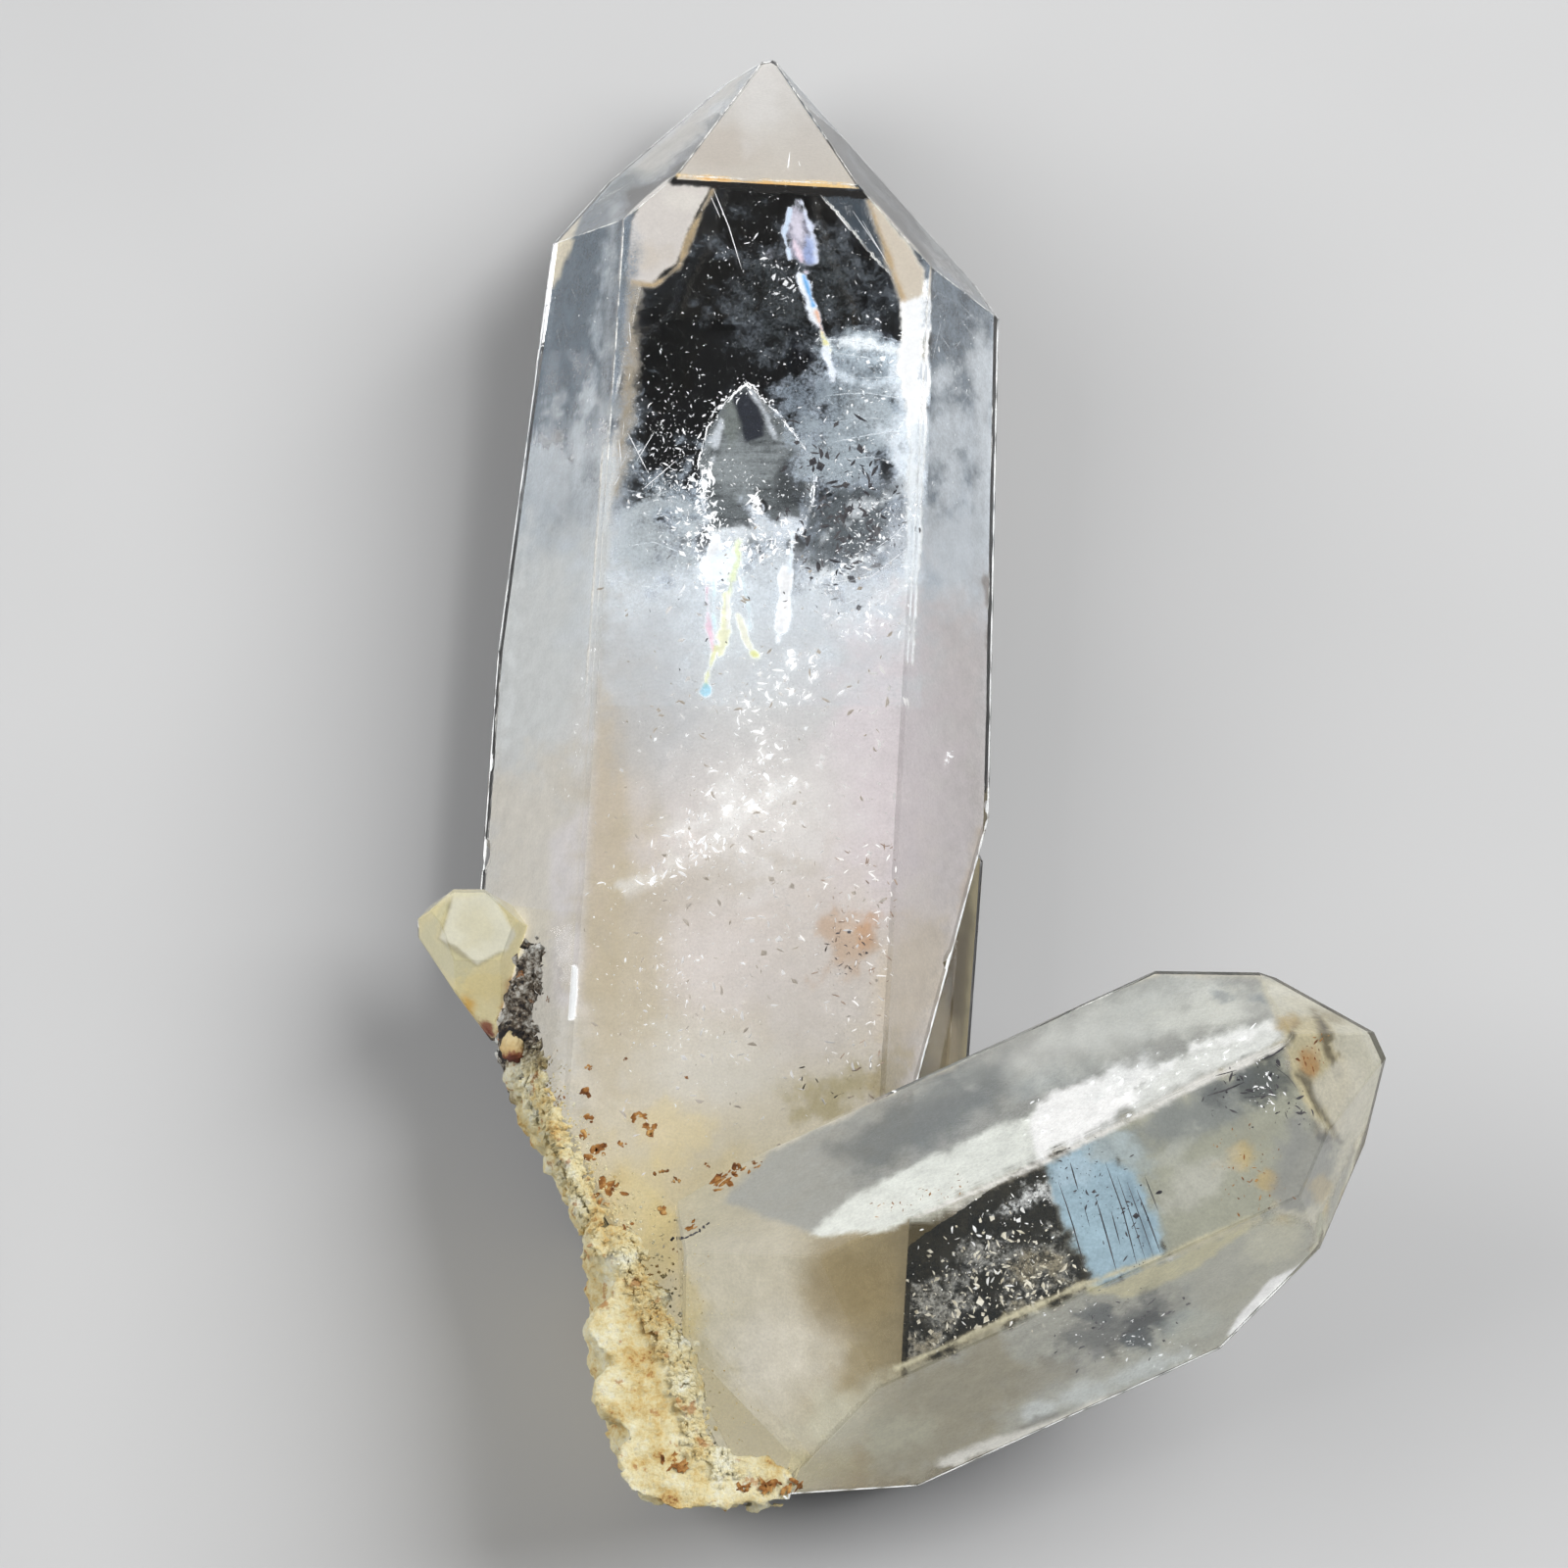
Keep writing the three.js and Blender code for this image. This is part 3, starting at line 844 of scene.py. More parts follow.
# What is painted on the long point's milk.
LONG_BRUSHES = [
    # The left faces: grey and see-through above, then milk.
    brush(area((640, 180), (645, 285), (625, 450), (530, 450), (550, 230)), (84, 97, 108), 0.78, 30, 14),
    brush(area((624, 440), (606, 660), (500, 720), (500, 480)), (162, 170, 176), 0.8, 60, 26),
    brush(line(10, (604, 402), (598, 450), (592, 500)), (190, 198, 204), 0.85, 12, 14, 0.8),
    brush(line(6, (624, 250), (616, 330), (612, 390)), (170, 180, 188), 0.8, 10, 12, 0.7),
    brush(oval(566, 470, 16, 40, 6), (176, 184, 190), 0.85, 18, 20, 0.8),
    brush(area((604, 560), (600, 900), (560, 1200), (480, 900), (490, 560)), (190, 193, 192), 0.95, 90, 30),
    brush(area((595, 760), (590, 1150), (520, 1100), (490, 800)), (194, 190, 180), 0.95, 60, 30),
    brush(line(7, (548, 520), (530, 640), (522, 760)), (204, 208, 208), 0.95, 12, 8, 0.7),
    brush(line(12, (574, 860), (584, 960), (580, 1080)), (206, 202, 192), 1.0, 14, 6, 0.7),
    brush(area((570, 232), (601, 218), (590, 246), (577, 282), (560, 302)), (214, 205, 182), 0.95, 5, 3),
    brush(line(9, (632, 215), (622, 400), (606, 640), (600, 780)), (196, 202, 206), 0.8, 9, 6, 0.4),
    # The tip's left face: pale near the top, grey and see-through lower down.
    brush(area((688, 176), (640, 205), (600, 222), (566, 240), (640, 178), (700, 120)), (120, 132, 138),
          0.5, 8, 8),
    brush(area((688, 176), (668, 182), (640, 178), (758, 66), (792, 58)), (188, 186, 180), 0.92, 26, 12),
    brush(line(8, (566, 238), (640, 178), (700, 126), (756, 72)), (206, 212, 216), 0.8, 8, 4, 0.8),
    # The tip's right face: a dark strip with a light rim.
    brush(area((800, 62), (878, 189), (1012, 330), (1020, 330), (890, 160)), (58, 63, 68), 0.55, 10, 5),
    brush(line(9, (812, 82), (882, 162), (950, 250), (1004, 318)), (150, 158, 160), 0.8, 8, 5, 0.8),
    # The right face: whitish bands, partly milk and partly a painted sheen, and a bright rim that is a
    # painted highlight.
    brush(area((945, 270), (1016, 335), (1018, 640), (935, 640)), (130, 142, 153), 0.66, 10, 6),
    brush(line(30, (996, 350), (1002, 480), (998, 640)), (214, 221, 227), 0.92, 26, 14),
    brush(oval(966, 450, 22, 70), (206, 214, 221), 0.85, 22, 16),
    brush(area((936, 520), (1018, 520), (1016, 640), (934, 660)), (200, 207, 213), 0.92, 50, 24),
    brush(line(9, (1016, 340), (1017, 520), (1013, 640), (1009, 780)), (244, 246, 248), 1.0, 6, 4),
    brush(area((934, 620), (1016, 620), (1008, 860), (960, 1040), (900, 1200), (930, 800)), (197, 191, 190),
          0.96, 90, 30),
    brush(line(7, (1003, 592), (1006, 624), (1004, 660)), (116, 104, 94), 0.9, 6, 6, 0.8),
    brush(line(12, (1000, 850), (980, 930), (968, 990)), (190, 176, 158), 0.95, 10, 8, 0.8),
    brush(line(5, (996, 872), (984, 920)), (110, 84, 72), 1.0, 6, 6, 0.6),
    # The body of the milk: a brownish painted shadow just behind its left edge, pinker on its right.
    brush(area((610, 690), (640, 730), (640, 880), (630, 1020), (594, 1020), (601, 880)), (177, 165, 144),
          None, 14, 3, 0.75),
    brush(oval(630, 850, 34, 200, 2), (182, 172, 155), None, 44, 20, 0.5),
    brush(area((566, 860), (598, 830), (592, 1030), (572, 1030)), (206, 202, 204), None, 16, 6, 0.7),
    brush(oval(640, 1000, 44, 130), (178, 168, 144), None, 50, 24, 0.7),
    brush(oval(660, 700, 50, 90), (172, 174, 176), None, 50, 26, 0.6),
    brush(oval(902, 780, 60, 140), (203, 195, 198), None, 70, 34, 0.7),
    brush(oval(780, 850, 90, 60, -35), (208, 206, 203), None, 50, 26, 0.7),
    brush(line(7, (640, 908), (690, 884), (750, 842), (800, 800)), (222, 222, 220), None, 14, 14, 0.6),
    brush(line(5, (690, 860), (740, 810), (780, 770)), (218, 217, 215), None, 12, 14, 0.6),
    brush(line(6, (700, 960), (770, 900), (830, 890)), (178, 170, 158), None, 16, 16, 0.5),
    brush(line(6, (760, 1050), (850, 1030), (900, 1040)), (214, 208, 202), None, 16, 16, 0.5),
    brush(oval(700, 910, 70, 24, -30), (178, 170, 158), None, 26, 16, 0.6),
    brush(oval(740, 980, 60, 50), (206, 200, 196), None, 44, 26, 0.6),
    brush(oval(826, 1010, 60, 80), (190, 185, 180), None, 50, 26, 0.6),
    brush(oval(868, 964, 24, 30, 20), (176, 150, 124), None, 26, 26, 0.7),
    brush(oval(882, 950, 10, 14, 20), (184, 140, 100), None, 12, 14, 0.5),
    brush(oval(930, 1000, 34, 70, 12), (196, 184, 164), None, 30, 16, 0.7),
    brush(oval(850, 1112, 40, 20, -12), (158, 148, 112), None, 26, 26, 0.8),
    brush(oval(904, 1100, 14, 26, 10), (176, 162, 126), None, 20, 20, 0.6),
    brush(oval(720, 1090, 70, 40), (200, 197, 188), None, 44, 22, 0.6),
    brush(oval(690, 1160, 40, 26), (206, 192, 152), None, 26, 18, 0.6),
    brush(area((580, 1150), (640, 1180), (760, 1190), (700, 1300), (600, 1290)), (196, 184, 150),
          None, 60, 26, 0.7),
    brush(oval(650, 1235, 30, 34), (204, 190, 144), None, 26, 22, 0.6),
    brush(oval(666, 1290, 22, 60, 8), (202, 186, 136), None, 18, 14, 0.7),
    brush(oval(628, 1310, 20, 90), (204, 186, 140), None, 18, 14, 0.75),
    brush(oval(700, 1440, 60, 60), (188, 178, 146), None, 40, 20, 0.6),
]
# How many pixels the milk's upper limit waves up and down.
MILK_WAVE = 60


def milk_start(shift, fade, most):
    """Milk whose cover grows from none to most below its limit, moved down by shift pixels."""
    def start_of(pixel):
        x, y = pixel
        wave = noise.fractal(Vector((x, y * 0.8, shift)) * PIXEL * 0.4, 0.7, FINER, 5)
        risen = (y - level(MILK_LIMIT, x) - shift + MILK_WAVE * wave) / fade
        return level(LONG_TINTS, y), most * smooth_step(risen)

    return start_of


# Each body of the long point's milk: its name, its depth, how fine it is towards and away from the camera,
# and how far its limit is moved down, over how many pixels it thickens and its greatest cover.
LONG_MILK = [
    ("milk_long_1", 0.5, (0.42, 1.4), (-30, 190, 0.82)),
    ("milk_long_2", 2.2, (0.8, 1.8), (0, 150, 0.85)),
    ("milk_long_3", 4.6, (1.0, 2.0), (30, 90, 1.0)),
]


def long_milk():
    """The long point's milk: thin near its faces and solid deeper down, where only its tints are painted."""
    milky = painted("long_milk", mottle=0.32, speckle=0.18, thin=0.6, size=1.3)
    brushes = LONG_BRUSHES
    for name, depth, steps, start in LONG_MILK:
        painted_body(name, LONG_POINT, depth, steps, milk_start(*start), brushes, milky)
        brushes = [one for one in LONG_BRUSHES if one.cover is None]


# Across the second point, its milk darkens and browns towards a flat limit, left of its dark window.
CROSS_TINTS = [
    (620, rgb(198, 188, 160)), (720, rgb(182, 176, 154)), (800, rgb(180, 174, 156)),
    (870, rgb(148, 136, 106)), (925, rgb(124, 114, 90)),
]
# What is painted on the second point's milk, and then on the veil under its faces.
CROSS_ROOT_BRUSHES = [
    brush(oval(790, 1382, 66, 44, -20), (194, 189, 175), None, 64, 16, 0.85),
    brush(oval(735, 1300, 60, 30), (192, 186, 168), None, 34, 22, 0.6),
    brush(oval(866, 1312, 46, 44), (136, 122, 90), None, 50, 16, 0.85),
    brush(oval(712, 1412, 34, 50), (164, 156, 126), None, 30, 26, 0.6),
    brush(oval(872, 1446, 64, 28, -20), (182, 179, 160), None, 36, 16, 0.85),
    brush(oval(800, 1500, 90, 18, -6), (170, 162, 128), None, 22, 14, 0.7),
    brush(oval(690, 1330, 26, 50), (186, 170, 118), None, 26, 20, 0.6),
]
CROSS_BRUSHES = [
    # The upper face, from its lit rim down to the bright edge: painted highlights along the rim and edge, and
    # a bright glare patch.
    brush(area((790, 1168), (1100, 1016), (1190, 988), (1300, 998), (1312, 1062), (1120, 1158), (935, 1240),
               (830, 1262), (740, 1230)), (154, 155, 150), 0.9, 8, 4),
    brush(area((846, 1172), (960, 1098), (1030, 1076), (1030, 1120), (970, 1160), (880, 1206)),
          (108, 112, 111), 0.92, 26, 12, 0.95),
    brush(oval(1150, 1042, 110, 28, -24), (190, 192, 186), 0.92, 34, 16, 0.9),
    brush(oval(1246, 1034, 50, 20, -8), (204, 206, 198), 0.92, 20, 12, 0.9),
    brush(oval(1286, 1022, 26, 5, 4), (116, 124, 130), 0.9, 6, 8, 0.7),
    brush(line(8, (780, 1176), (960, 1090), (1100, 1022), (1188, 992), (1285, 996)), (208, 202, 186),
          0.95, 9, 4),
    brush(area((826, 1262), (866, 1226), (960, 1178), (1040, 1142), (1070, 1128), (1090, 1168), (1060, 1180),
               (935, 1242), (880, 1262)), (230, 233, 225), 0.98, 8, 5),
    brush(area((1146, 1124), (1186, 1086), (1240, 1058), (1300, 1040), (1312, 1062), (1223, 1104),
               (1160, 1136)), (226, 228, 223), 0.98, 12, 8),
    brush(area((1046, 1142), (1074, 1122), (1120, 1100), (1168, 1090), (1160, 1126), (1115, 1158),
               (1060, 1184)), (252, 252, 250), 1.0, 9, 7),
    brush(oval(1150, 1104, 34, 16, -20), (236, 238, 236), 0.98, 20, 14, 0.7),
    brush(line(6, (1150, 1112), (1220, 1072), (1296, 1050)), (246, 247, 244), 1.0, 8, 8),
    # The front face: a pale blue band with dark streaks, then speckled grey towards the tip.
    brush(area((1122, 1158), (1223, 1106), (1310, 1068), (1345, 1150), (1296, 1236), (1190, 1286),
               (1151, 1198)), (156, 157, 142), 0.86, 8, 6),
    brush(oval(1226, 1136, 84, 24, -26), (128, 132, 130), 0.86, 26, 20, 0.9),
    brush(oval(1296, 1104, 36, 22, -22), (84, 88, 86), 0.88, 16, 18, 0.9),
    brush(oval(1200, 1176, 30, 12, -24), (176, 178, 168), 0.88, 14, 16, 0.7),
    brush(oval(1280, 1150, 30, 12, -30), (150, 150, 136), 0.88, 14, 16, 0.7),
    brush(oval(1318, 1176, 16, 38, 14), (138, 139, 138), 0.86, 18, 12, 0.8),
    brush(oval(1252, 1108, 22, 7, -26), (92, 96, 96), 0.85, 8, 12, 0.7),
    brush(oval(1268, 1182, 18, 11, -20), (196, 172, 112), 0.92, 14, 14, 0.6),
    brush(oval(1292, 1204, 10, 9), (188, 160, 96), 0.92, 10, 10, 0.5),
    brush(oval(1222, 1206, 40, 22, -30), (186, 186, 176), 0.9, 18, 12, 0.7),
    brush(area((1066, 1186), (1116, 1161), (1160, 1192), (1194, 1284), (1141, 1310), (1116, 1320),
               (1088, 1252), (1071, 1204)), (156, 180, 192), 0.96, 12, 8),
    brush(oval(1150, 1180, 26, 16, 30), (160, 168, 164), 0.9, 16, 16, 0.8),
    brush(oval(1134, 1172, 22, 18, 20), (168, 180, 182), 0.94, 14, 12, 0.8),
    brush(oval(1108, 1262, 18, 26, 20), (164, 190, 202), 0.96, 14, 12, 0.7),
    brush(oval(1092, 1196, 18, 16), (178, 200, 212), 0.96, 10, 8, 0.8),
    brush(line(8, (1150, 1200), (1164, 1244), (1176, 1286)), (120, 140, 152), 1.0, 12, 6, 0.7),
    brush(line(5, (935, 1242), (1065, 1186), (1120, 1159), (1223, 1106), (1310, 1068)), (228, 226, 220),
          0.95, 5, 2),
    brush(line(6, (915, 1396), (1021, 1349), (1104, 1311), (1187, 1282), (1284, 1242)), (198, 192, 164),
          0.95, 6, 3),
    # The lower face: a cream band under the edge, dark smudges and a lit rim, which is a painted highlight.
    brush(area((925, 1400), (1110, 1316), (1290, 1246), (1340, 1250), (1330, 1310), (1262, 1366),
               (1100, 1440), (940, 1500), (900, 1500)), (168, 168, 156), 0.9, 8, 4),
    brush(area((925, 1400), (1010, 1362), (1080, 1400), (960, 1500), (890, 1510), (880, 1440)),
          (150, 144, 122), 0.95, 34, 18),
    brush(oval(910, 1460, 40, 20, -20), (172, 170, 148), 0.95, 26, 16, 0.8),
    brush(area((1110, 1316), (1191, 1284), (1284, 1244), (1226, 1288), (1151, 1324)), (194, 189, 156),
          0.96, 6, 4),
    brush(oval(1300, 1262, 34, 20, -30), (192, 191, 172), 0.95, 16, 8, 0.9),
    brush(oval(1136, 1356, 58, 24, -22), (104, 107, 104), 0.9, 22, 20, 0.9),
    brush(oval(1160, 1360, 30, 15, -20), (58, 62, 62), 0.92, 12, 16, 0.9),
    brush(oval(1214, 1352, 30, 16, -26), (176, 180, 170), 0.9, 14, 12, 0.7),
    brush(oval(1120, 1336, 20, 8, -24), (88, 94, 94), 0.9, 8, 12, 0.7),
    brush(line(18, (1050, 1440), (1120, 1414), (1210, 1380)), (204, 210, 207), 0.95, 18, 10, 0.9),
    brush(oval(1060, 1402, 30, 12, -20), (150, 146, 130), 0.92, 14, 12, 0.7),
    brush(line(9, (960, 1492), (1080, 1448), (1180, 1408), (1262, 1368)), (224, 222, 213), 0.96, 8, 5),
    brush(line(4, (1040, 1455), (1090, 1436)), (90, 86, 78), 1.0, 5, 5, 0.6),
    brush(line(4, (1130, 1424), (1200, 1394)), (96, 92, 84), 1.0, 5, 5, 0.5),
    # The tip: cream and yellow faces, and a narrow one that is nearly white, a painted highlight.
    brush(area((1285, 1000), (1390, 1030), (1416, 1085), (1404, 1120), (1340, 1250), (1296, 1236),
               (1345, 1150), (1312, 1062)), (194, 191, 174), 0.93, 8, 4),
    brush(area((1313, 1041), (1351, 1036), (1380, 1108), (1358, 1162), (1313, 1092)), (192, 182, 148),
          0.96, 10, 8),
    brush(oval(1336, 1082, 9, 11), (168, 124, 70), 1.0, 8, 8, 0.75),
    brush(area((1336, 1030), (1350, 1038), (1366, 1088), (1364, 1104), (1350, 1074)), (86, 78, 60),
          1.0, 6, 6, 0.85),
    brush(line(4, (1284, 1084), (1304, 1074), (1316, 1064), (1322, 1048)), (62, 62, 58), 1.0, 5, 5, 0.85),
    brush(line(3, (1316, 1090), (1332, 1104), (1350, 1140), (1366, 1164)), (84, 78, 66), 1.0, 5, 6, 0.8),
    brush(line(3, (1322, 1046), (1342, 1040), (1356, 1056), (1364, 1076)), (76, 70, 58), 1.0, 4, 5, 0.7),
    brush(area((1340, 1110), (1364, 1080), (1396, 1092), (1384, 1150), (1366, 1160)), (204, 200, 184),
          0.96, 8, 6, 0.8),
    brush(line(7, (1300, 1012), (1340, 1020), (1386, 1040), (1404, 1084)), (206, 204, 190), 0.96, 7, 5, 0.8),
    brush(oval(1316, 1046, 14, 7), (172, 150, 104), 1.0, 8, 8, 0.7),
    brush(oval(1356, 1040, 22, 6, 20), (150, 142, 118), 0.96, 6, 5, 0.7),
    brush(area((1318, 1146), (1362, 1164), (1354, 1206), (1332, 1246), (1300, 1232)), (140, 141, 136),
          0.9, 14, 12, 0.9),
    brush(oval(1348, 1156, 12, 6, 50), (84, 84, 86), 0.95, 6, 8, 0.7),
    brush(oval(1346, 1216, 12, 8, -50), (182, 166, 128), 0.92, 10, 10, 0.6),
    brush(area((1338, 1284), (1326, 1315), (1272, 1365), (1250, 1360), (1296, 1300)), (248, 248, 246),
          1.0, 4, 2),
]


# Two pixels of the line at which the second point's milk ends, its cover, and how many pixels its veil
# takes to fade there.
CROSS_MILK_LIMIT = ((919, 1396), (927, 1262))
CROSS_MILK_COVER = 0.97
CROSS_FADE = 14
# The veil thickens over so many pixels left of an x.
CROSS_THICK_FROM = 850
CROSS_THICKENING = 90


def cross_start(pixel):
    """Brown-grey milk on the left of the window, and next to nothing under the faces on its right."""
    x = pixel[0]
    left = smooth_step((CROSS_MILK_LIMIT[0][0] - x) / CROSS_FADE + 0.5)
    thick = smooth_step((CROSS_THICK_FROM - x) / CROSS_THICKENING)
    return level(CROSS_TINTS, x), 0.05 + (0.4 + 0.5 * thick) * left


def cross_milk_start(pixel):
    return level(CROSS_TINTS, pixel[0]), CROSS_MILK_COVER


def window_limit():
    """The plane, seen edge on, at which the second point's milk ends."""
    near_low, near_high = (beneath(pixel, CROSS_TOP, 0.3) for pixel in CROSS_MILK_LIMIT)
    deep = beneath(CROSS_MILK_LIMIT[0], CROSS_TOP, 8)
    normal = (near_high - near_low).cross(deep - near_low).normalized()
    if normal.x < 0:
        normal.negate()
    return normal, normal.dot(near_low)


CROSS_DEEP_SHADE_OUTLINE = [(900, 1290), (1060, 1180), (1130, 1160), (1200, 1290), (1100, 1330), (900, 1420)]


def cross_milk():
    veil = painted("cross_veil", mottle=0.3, speckle=0.25, thin=0.6, size=1.1)
    painted_body("cross_veil", CROSS_POINT, 0.22, (0.34, 1.4), cross_start,
                 CROSS_ROOT_BRUSHES + CROSS_BRUSHES, veil)
    milky = painted("cross_milk", mottle=0.3, speckle=0.2, thin=0.3, shift=4.0)
    painted_body("milk_cross", CROSS_POINT, 0.5, (0.55, 1.4), cross_milk_start, CROSS_ROOT_BRUSHES, milky,
                 limits=[window_limit()])
    # A dark sheet deep under the second point's window: painted shade that keeps the window dark.
    shade = painted("deep_shade", mottle=0.3, speckle=0.1, thin=0.5, shift=7.0)
    sheet("cross_deep_shade", CROSS_DEEP_SHADE_OUTLINE, CROSS_TOP, 11.0, CROSS_POINT, (rgb(38, 41, 42), 0.92),
          [], shade, step=8)


SMALL_BRUSHES = [
    brush(area((426, 956), (463, 909), (449, 957), (487, 985), (470, 1010)), (194, 188, 152), None, 8, 5),
    brush(area((463, 909), (499, 906), (525, 952), (518, 969), (487, 985), (449, 957)), (216, 213, 192),
          1.0, 4, 2),
    brush(oval(487, 945, 20, 18), (206, 200, 170), None, 18, 10, 0.6),
    brush(line(3, (463, 909), (449, 957), (487, 985), (512, 972)), (140, 132, 102), None, 4, 2, 0.7),
    brush(line(12, (446, 916), (500, 900), (530, 906)), (222, 216, 186), 0.96, 10, 4),
    brush(area((470, 1000), (487, 985), (520, 972), (532, 990), (510, 1030), (490, 1020)), (206, 194, 148),
          None, 8, 6),
    brush(oval(473, 1028, 11, 14), (204, 158, 62), 1.0, 10, 6, 0.85),
    brush(oval(494, 1046, 13, 8, 30), (128, 66, 40), 1.0, 6, 6, 0.95),
    brush(line(7, (538, 906), (544, 950), (532, 985)), (184, 156, 96), 1.0, 7, 6, 0.8),
    brush(line(3, (524, 908), (534, 930), (540, 948)), (150, 118, 66), 1.0, 4, 4, 0.7),
    brush(line(5, (545, 950), (534, 984), (520, 1004), (512, 1032), (508, 1052)), (142, 94, 48),
          1.0, 5, 5, 0.85),
    brush(line(3, (484, 1041), (494, 1046), (504, 1058)), (104, 44, 26), 1.0, 4, 4, 0.9),
    brush(oval(490, 1004, 20, 12, 20), (212, 196, 140), 1.0, 12, 10, 0.6),
    brush(oval(466, 1012, 8, 14), (218, 204, 150), 1.0, 8, 8, 0.6),
]


def small_milk():
    veil = painted("small_veil", mottle=0.14, speckle=0.12, thin=0.3, shift=5.0)
    painted_body("milk_small", SMALL_POINT, 0.14, (0.2, 0.5), always(rgb(206, 196, 152), 0.93), SMALL_BRUSHES,
                 veil)


BACK_BRUSHES = [
    brush(line(10, (996, 880), (990, 1000), (984, 1080)), (150, 140, 108), 0.95, 10, 5),
    brush(line(14, (978, 960), (968, 1080)), (84, 74, 56), 0.95, 16, 8, 0.8),
    brush(oval(960, 1060, 16, 34), (150, 138, 112), 0.95, 14, 8, 0.8),
]


def back_milk():
    veil = painted("back_veil", mottle=0.25, speckle=0.15, thin=0.4, shift=6.0)
    painted_body("milk_back", BACK_POINT, 0.25, (0.6, 1.4), always(rgb(100, 91, 68), 0.96), BACK_BRUSHES,
                 veil)


# Sheets deeper in the long point, each where the photograph shows it

WINDOW_HAZE_OUTLINE = [(690, 196), (876, 204), (938, 290), (934, 720), (612, 720), (640, 400), (650, 290)]
WINDOW_HAZE_BRUSHES = [
    brush(oval(790, 282, 14, 22, 20), (176, 168, 180), 0.4, 16, 22),
    brush(oval(785, 266, 4, 16), (206, 200, 212), 0.6, 8, 10),
    brush(oval(797, 290, 5, 9), (214, 208, 218), 0.6, 8, 10),
    brush(oval(820, 300, 70, 60), (74, 80, 84), 0.14, 50, 50),
    brush(oval(884, 412, 66, 56), (132, 142, 150), 0.62, 36, 30),
    brush(oval(896, 424, 36, 34), (160, 169, 175), 0.75, 24, 26),
    brush(oval(892, 360, 44, 14, 8), (168, 179, 187), 0.56, 16, 14),
    brush(line(3, (834, 346), (880, 350), (932, 364)), (226, 232, 236), 0.9, 6, 10),
    brush(line(4, (836, 380), (890, 392), (930, 386)), (196, 206, 214), 0.8, 8, 12),
    brush(line(3, (842, 452), (896, 440), (934, 436)), (206, 214, 220), 0.8, 6, 12),
    brush(oval(926, 440, 16, 80), (206, 213, 219), 0.8, 18, 14),
    brush(oval(858, 466, 38, 36), (150, 160, 167), 0.76, 24, 16),
    brush(oval(812, 400, 26, 16, -10), (116, 126, 136), 0.4, 18, 20),
    brush(oval(676, 516, 36, 40), (140, 150, 158), 0.4, 34, 36),
    brush(oval(636, 470, 14, 50), (120, 128, 134), 0.35, 20, 22),
    brush(below((600, 560), (660, 580), (720, 560), (800, 552), (850, 590), (940, 570)), (190, 196, 201),
          0.8, 50, 60),
    brush(oval(660, 550, 52, 32), (164, 171, 175), 0.78, 26, 22),
    brush(oval(872, 536, 56, 44, -20), (84, 90, 94), 0.66, 30, 24),
    brush(line(6, (800, 604), (850, 588), (900, 560)), (222, 227, 230), 0.95, 6, 12, 0.8),
    brush(line(4, (838, 546), (880, 520), (930, 500)), (196, 202, 206), 0.85, 6, 12, 0.7),
    brush(line(8, (850, 640), (900, 612), (936, 590)), (212, 214, 216), 0.9, 8, 14, 0.7),
]


def window_haze():
    """Thin cloudy sheets in the clear upper part, densest beside the chamber and towards the milk."""
    hazy = painted("window_haze", mottle=0.45, speckle=0.5, thin=1.3, size=0.8, shift=2.0)
    sheet("window_haze", WINDOW_HAZE_OUTLINE, LONG_TOP, 2.0, LONG_POINT, (rgb(160, 170, 182), 0.0),
          WINDOW_HAZE_BRUSHES, hazy, step=5)


LEFT_PANES_OUTLINE = [
    (674, 180), (738, 182), (712, 290), (672, 330), (650, 560), (608, 720), (598, 720), (616, 480),
    (630, 290), (640, 205),
]
LEFT_PANES_BRUSHES = [
    brush(line(14, (646, 286), (644, 340), (638, 420), (626, 500)), (146, 136, 118), 0.75, 14, 8),
    brush(line(8, (628, 440), (616, 560), (606, 700)), (200, 198, 192), 0.75, 10, 6),
    brush(line(5, (727, 194), (702, 244), (693, 272), (668, 291), (646, 288)), (190, 166, 124),
          0.7, 5, 3, 0.7),
    brush(area((684, 184), (727, 187), (722, 197), (698, 241), (690, 268), (665, 288), (640, 284), (645, 225),
               (656, 204), (672, 192)), (206, 201, 196), 0.97, 4, 2),
    brush(oval(700, 205, 22, 12), (216, 212, 205), None, 12, 6, 0.8),
    brush(oval(664, 264, 20, 14), (196, 186, 172), None, 14, 8, 0.5),
]


def left_panes_and_reflection():
    """A cream pane, a painted reflection, at the window's upper left; its yellow border and the brownish band
    below.
    """
    still = painted("pane_with_painted_reflection", mottle=0.1, speckle=0.12, thin=0.4, shift=3.0)
    sheet("left_panes_and_reflection", LEFT_PANES_OUTLINE, LONG_TOP, 1.0, LONG_POINT, (rgb(150, 146, 138), 0.0),
          LEFT_PANES_BRUSHES, still, step=3.2)


RIGHT_PANES_OUTLINE = [
    (880, 197), (902, 206), (950, 274), (948, 470), (932, 690), (912, 690), (912, 330), (892, 260),
]
RIGHT_PANES_BRUSHES = [
    brush(area((886, 203), (899, 213), (944, 276), (941, 332), (925, 318), (914, 285)), (204, 195, 180),
          0.96, 5, 2),
    brush(line(5, (886, 205), (915, 288), (926, 318)), (170, 144, 100), 0.7, 6, 2, 0.8),
    brush(area((921, 310), (944, 298), (944, 390), (940, 450), (926, 446), (918, 360)), (248, 250, 251),
          1.0, 6, 5),
    brush(line(9, (934, 436), (929, 560), (923, 670)), (216, 221, 224), 0.75, 8, 6),
]


def right_panes_and_sheen():
    """A cream pane at the window's upper right and the very white band below it, both painted reflection and
    sheen.
    """
    still = painted("pane_with_painted_sheen", mottle=0.1, speckle=0.12, thin=0.4, shift=15.0)
    sheet("right_panes_and_sheen", RIGHT_PANES_OUTLINE, LONG_TOP, 0.8, LONG_POINT, (rgb(200, 200, 196), 0.0),
          RIGHT_PANES_BRUSHES, still, step=3.8)


